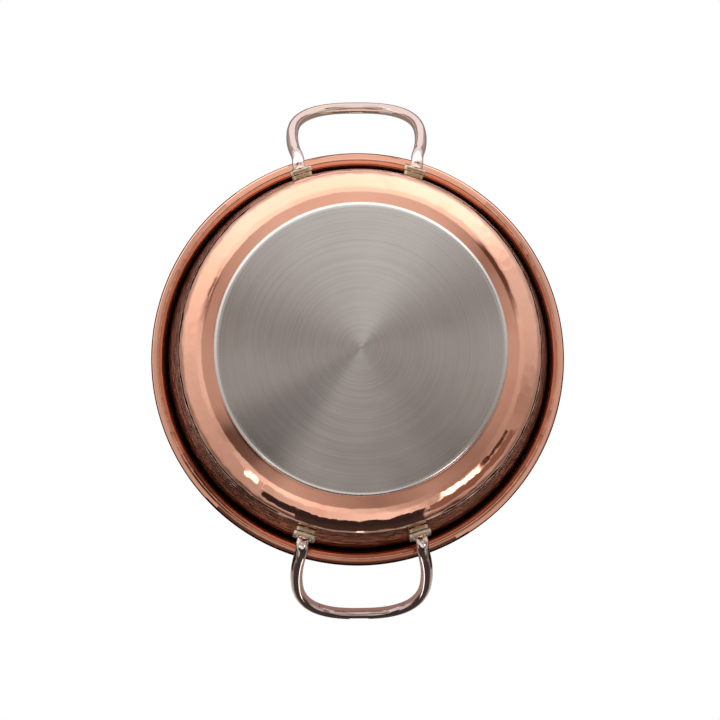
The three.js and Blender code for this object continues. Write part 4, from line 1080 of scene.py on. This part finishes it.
def tent():
    """The studio's tent: a panel under the pot and a wall round it, brightest in front."""
    f = Finish("tent_cloth")
    radius, angle, z = polar(f, f.place())
    bearing = angle / (2 * math.pi) + 0.5
    middle = f.ramp(bearing, *round_stops(
        (-180, 0.29), (-165, 0.23), (-150, 0.14), (-133, 0.33), (-105, 0.5), (-90, 0.54),
        (-62, 0.51), (-45, 0.38), (-30, 0.13), (-15, 0.31), (0, 0.3), (15, 0.18), (30, 0.05),
        (60, 0.12), (90, 0.2), (120, 0.24), (136, 0.0), (160, 0.0), (167, 0.28), (180, 0.29),
    ))
    outer = f.ramp(bearing, *round_stops(
        (-180, 0.28), (-150, 0.25), (-120, 0.4), (-90, 0.46), (-60, 0.38), (-38, 0.17), (-10, 0.3),
        (5, 0.29), (40, 0.16), (60, 0.24), (82, 0.16), (110, 0.28), (120, 0.3), (137, 0.09),
        (150, 0.05), (162, 0.26), (180, 0.28),
    ))
    low_wall = f.ramp(bearing, *round_stops(
        (-180, 0.45), (-165, 0.42), (-150, 0.5), (-135, 0.72), (-120, 0.74), (-60, 0.68),
        (-45, 0.5), (-30, 0.36), (-12, 0.4), (0, 0.36), (30, 0.23), (45, 0.16), (60, 0.23),
        (75, 0.3), (90, 0.45), (120, 0.65), (135, 0.41), (150, 0.25), (165, 0.43), (180, 0.45),
    ))
    wall = f.ramp(bearing, *round_stops(
        (-180, 0.41), (-150, 0.66), (-130, 0.86), (-50, 0.94), (-30, 0.42), (0, 0.34), (15, 0.2),
        (30, 0.25), (45, 0.3), (60, 0.24), (75, 0.52), (90, 0.5), (105, 0.42), (120, 0.35),
        (135, 0.27), (150, 0.3), (180, 0.41),
    ))
    roof = f.ramp(bearing, *round_stops(
        (-180, 0.2), (-130, 0.4), (-50, 0.4), (0, 0.2), (60, 0.03), (120, 0.03), (180, 0.2),
    ))
    front = f.ramp(bearing, *round_stops((-135, 0), (-120, 1), (-60, 1), (-45, 0)))
    shaded = f.mixed(f.ranged(radius, 0.02, 0.38, 0.48, 0), middle, (0.02, 0.017, 0.015))
    panel = f.mixed(f.ranged(radius, 0.4, 0.6), shaded, outer)
    upright = f.mixed(f.ranged(z, -0.8, -0.6), low_wall, wall)
    crowned = f.mixed(f.ranged(z, 1.3, 1.6), roof, (0.2, 0.165, 0.14))
    high = f.mixed(f.ranged(z, 0.6, 1.0), upright, crowned)
    lit = f.mixed(f.ranged(z, -1.29, -1.2), panel, high)
    # Painted reflection: a broken band of dark streaks in the tent, 45 to 62 degrees off straight
    # down at two ranges of bearings, that shows as dark marks in the copper.
    slope = radius / (0 - z)
    dark_streaks = f.ranged(slope, 0.98, 1.1) * f.ranged(slope, 1.85, 1.6) * f.ranged(z, 0, -0.1)
    streak_bearings = f.ramp(bearing, *round_stops(
        (-168, 0), (-161, 0.8), (-151, 0.9), (-145, 0), (-48, 0), (-40, 1), (-24, 1), (-12, 0),
    ))
    spots = f.ranged(f.noise(f.place(), 9, 1), 0.43, 0.49)
    broken = f.math("MAXIMUM", spots, f.ranged(bearing, 0.2, 0.3))
    cloth = f.mixed(dark_streaks * streak_bearings * broken, lit, (0.06, 0.035, 0.025))
    # Painted shade: below 0.6 m the tent glows weaker to rays that have been reflected three times
    # or more, least in front, which darkens the copper where it reflects itself.
    depth = f.wire("ShaderNodeLightPath", output="Glossy Depth")
    below = f.ranged(z, 0.6, 0.2)
    dimmed = 2.0 - below * f.ranged(depth, 2, 3) * (1.7 - front * 1.1)
    glow = f.wire("ShaderNodeEmission", {}, {"Color": cloth, "Strength": dimmed})
    bm = band((TENT_RADIUS, TENT_LOW), (TENT_RADIUS, TENT_HIGH))
    rim = [e for e in bm.edges if e.is_boundary and e.verts[0].co.z < 0]
    bmesh.ops.contextual_create(bm, geom=rim)
    staged("tent", bm, seen_by_gloss(f, glow))


def lit_card(name, bm, colour, strength=1.0, bounced_share=1.0):
    """A card of one colour. Seen through a second reflection it glows with only a share of its
    strength, the last number: painted shade that darkens the copper where it reflects itself.
    """
    f = Finish(name)
    depth = f.wire("ShaderNodeLightPath", output="Glossy Depth")
    # Painted shade: the card glows weaker to rays that have been reflected twice.
    power = f.ranged(depth, 1, 2, strength, strength * bounced_share)
    glow = f.wire("ShaderNodeEmission", {}, {"Color": colour, "Strength": power})
    staged(name, bm, seen_by_gloss(f, glow))


def cards():
    """Cards and small windows that only reflections see. Those round the rim are what the wall and
    the flare reflect. The dark collars and dark cards paint shade into the reflections, the small
    windows paint glints, and the bright leg strip and front grip card paint highlights on the
    handles.
    """
    for name, first, last, bearings, colour, *power in (
        ("right_rim_card", (0.146, 0.115), (0.146, 0.131), (-50, 62), CARD_RIM, 1, 0.12),
        ("left_rim_card", (0.146, 0.115), (0.146, 0.131), (134, 230), CARD_RIM, 1, 0.12),
        ("front_rim_card", (0.146, 0.115), (0.146, 0.131), (-130, -50), (0.9, 0.84, 0.82), 1, 0.3),
        ("rear_rim_card", (0.146, 0.115), (0.146, 0.1228), (62, 134), (0.36, 0.25, 0.2), 1, 0.15),
        ("rear_rim_line", (0.146, 0.1228), (0.146, 0.131), (62, 134), (0.1, 0.06, 0.05)),
        # Dark collars just past the rim: painted shade, seen only in reflections.
        ("right_collar", (0.1425, 0.16), (0.22, 0.16), (-55, 62), CARD_DARK),
        ("left_collar", (0.1425, 0.16), (0.22, 0.16), (118, 235), CARD_DARK),
        ("rear_collar", (0.1425, 0.16), (0.152, 0.16), (62, 118), CARD_DARK),
        ("rear_grip_collar", (0.152, 0.16), (0.178, 0.16), (62, 118), CARD_PINK),
        ("front_collar", (0.1425, 0.16), (0.2, 0.16), (-125, -55), (0.3, 0.24, 0.21)),
        ("rear_lip_card", (0.15, 0.131), (0.15, 0.16), (58, 138), CARD_DARK),
        ("rear_grip_inside", (0.151, 0.131), (0.151, 0.16), (62, 118), CARD_PINK),
        ("rear_card", (0.3, -0.004), (0.3, 0.09), (68, 127), (0.036, 0.028, 0.03)),
        ("rear_grip_card", (0.3, 0.09), (0.3, 0.25), (68, 112), (0.05, 0.041, 0.04)),
        ("side_card", (0.32, -0.02), (0.32, 0.08), (27, 66), (0.26, 0.17, 0.14)),
        ("side_window", (0.9, -0.42), (0.9, -0.1), (43, 60), (1, 1, 1), 3),
        # A dark strip: a painted reflection of dark marks in the copper.
        ("side_seam", (0.9, -0.34), (0.9, -0.17), (27, 42), (0.08, 0.045, 0.035)),
        ("rear_window", (0.9, -0.42), (0.9, -0.1), (129, 134), (1, 1, 1), 3),
        # A bright strip and a bright card: painted highlights on the rear legs and the front grip.
        ("leg_strip", (0.25, 0.18), (0.25, 0.4), (88.4, 91.6), (1, 0.96, 0.92), 2),
        ("grip_card", (0.2, 0.112), (0.2, 0.152), (-109, -71), (1, 0.92, 0.92)),
        ("grip_edge_card", (0.2, 0.152), (0.2, 0.26), (-109, -71), (0.32, 0.26, 0.23)),
    ):
        lit_card(name, band(first, last, *bearings), colour, *power)


def lamp(name, place, aim, size, watts):
    """A soft lamp for the matt pieces. The metals show the tent instead of it."""
    data = bpy.data.lights.new(name, "AREA")
    data.shape = "DISK"
    data.size = size
    data.energy = watts
    obj = bpy.data.objects.new(name, data)
    obj.location = place
    obj.rotation_mode = "QUATERNION"
    obj.rotation_quaternion = (Vector(aim) - Vector(place)).to_track_quat("-Z", "Y")
    obj.visible_glossy = False
    bpy.context.scene.collection.objects.link(obj)


def studio():
    """White to the camera and to reflections, a little dimmer as light, with the tent and cards."""
    world = bpy.data.worlds.new("studio")
    bpy.context.scene.world = world
    world.use_nodes = True
    nodes, links = world.node_tree.nodes, world.node_tree.links
    nodes.clear()
    path = nodes.new("ShaderNodeLightPath")
    seen = nodes.new("ShaderNodeMath")
    seen.operation = "MAXIMUM"
    links.new(path.outputs["Is Camera Ray"], seen.inputs[0])
    mirrored = nodes.new("ShaderNodeMath")
    mirrored.operation = "MAXIMUM"
    links.new(path.outputs["Is Glossy Ray"], mirrored.inputs[0])
    links.new(path.outputs["Is Transmission Ray"], mirrored.inputs[1])
    links.new(mirrored.outputs[0], seen.inputs[1])
    dim = nodes.new("ShaderNodeBackground")
    dim.inputs["Color"].default_value = (0.9, 0.9, 0.9, 1)
    dim.inputs["Strength"].default_value = 0.95
    white = nodes.new("ShaderNodeBackground")
    white.inputs["Color"].default_value = (1, 1, 1, 1)
    white.inputs["Strength"].default_value = 1.0
    mix = nodes.new("ShaderNodeMixShader")
    links.new(seen.outputs[0], mix.inputs[0])
    links.new(dim.outputs[0], mix.inputs[1])
    links.new(white.outputs[0], mix.inputs[2])
    out = nodes.new("ShaderNodeOutputWorld")
    links.new(mix.outputs[0], out.inputs["Surface"])
    middle = (0, 0, 0.07)
    lamp("key_below", (-0.5, -0.9, -1.1), middle, 0.9, 4)
    lamp("key_above", (-0.7, -0.9, 1.5), middle, 0.9, 6)
    lamp("fill_above", (1.1, 0.7, 1.2), middle, 0.8, 3)
    tent()
    cards()


camera()
dress_cad_nodes()
copper_shell()
rim_wire()
base_cap()
handles()
drive()
paddle()
studio()
floor_sheet()

scene = bpy.context.scene
scene.view_settings.view_transform = "Standard"
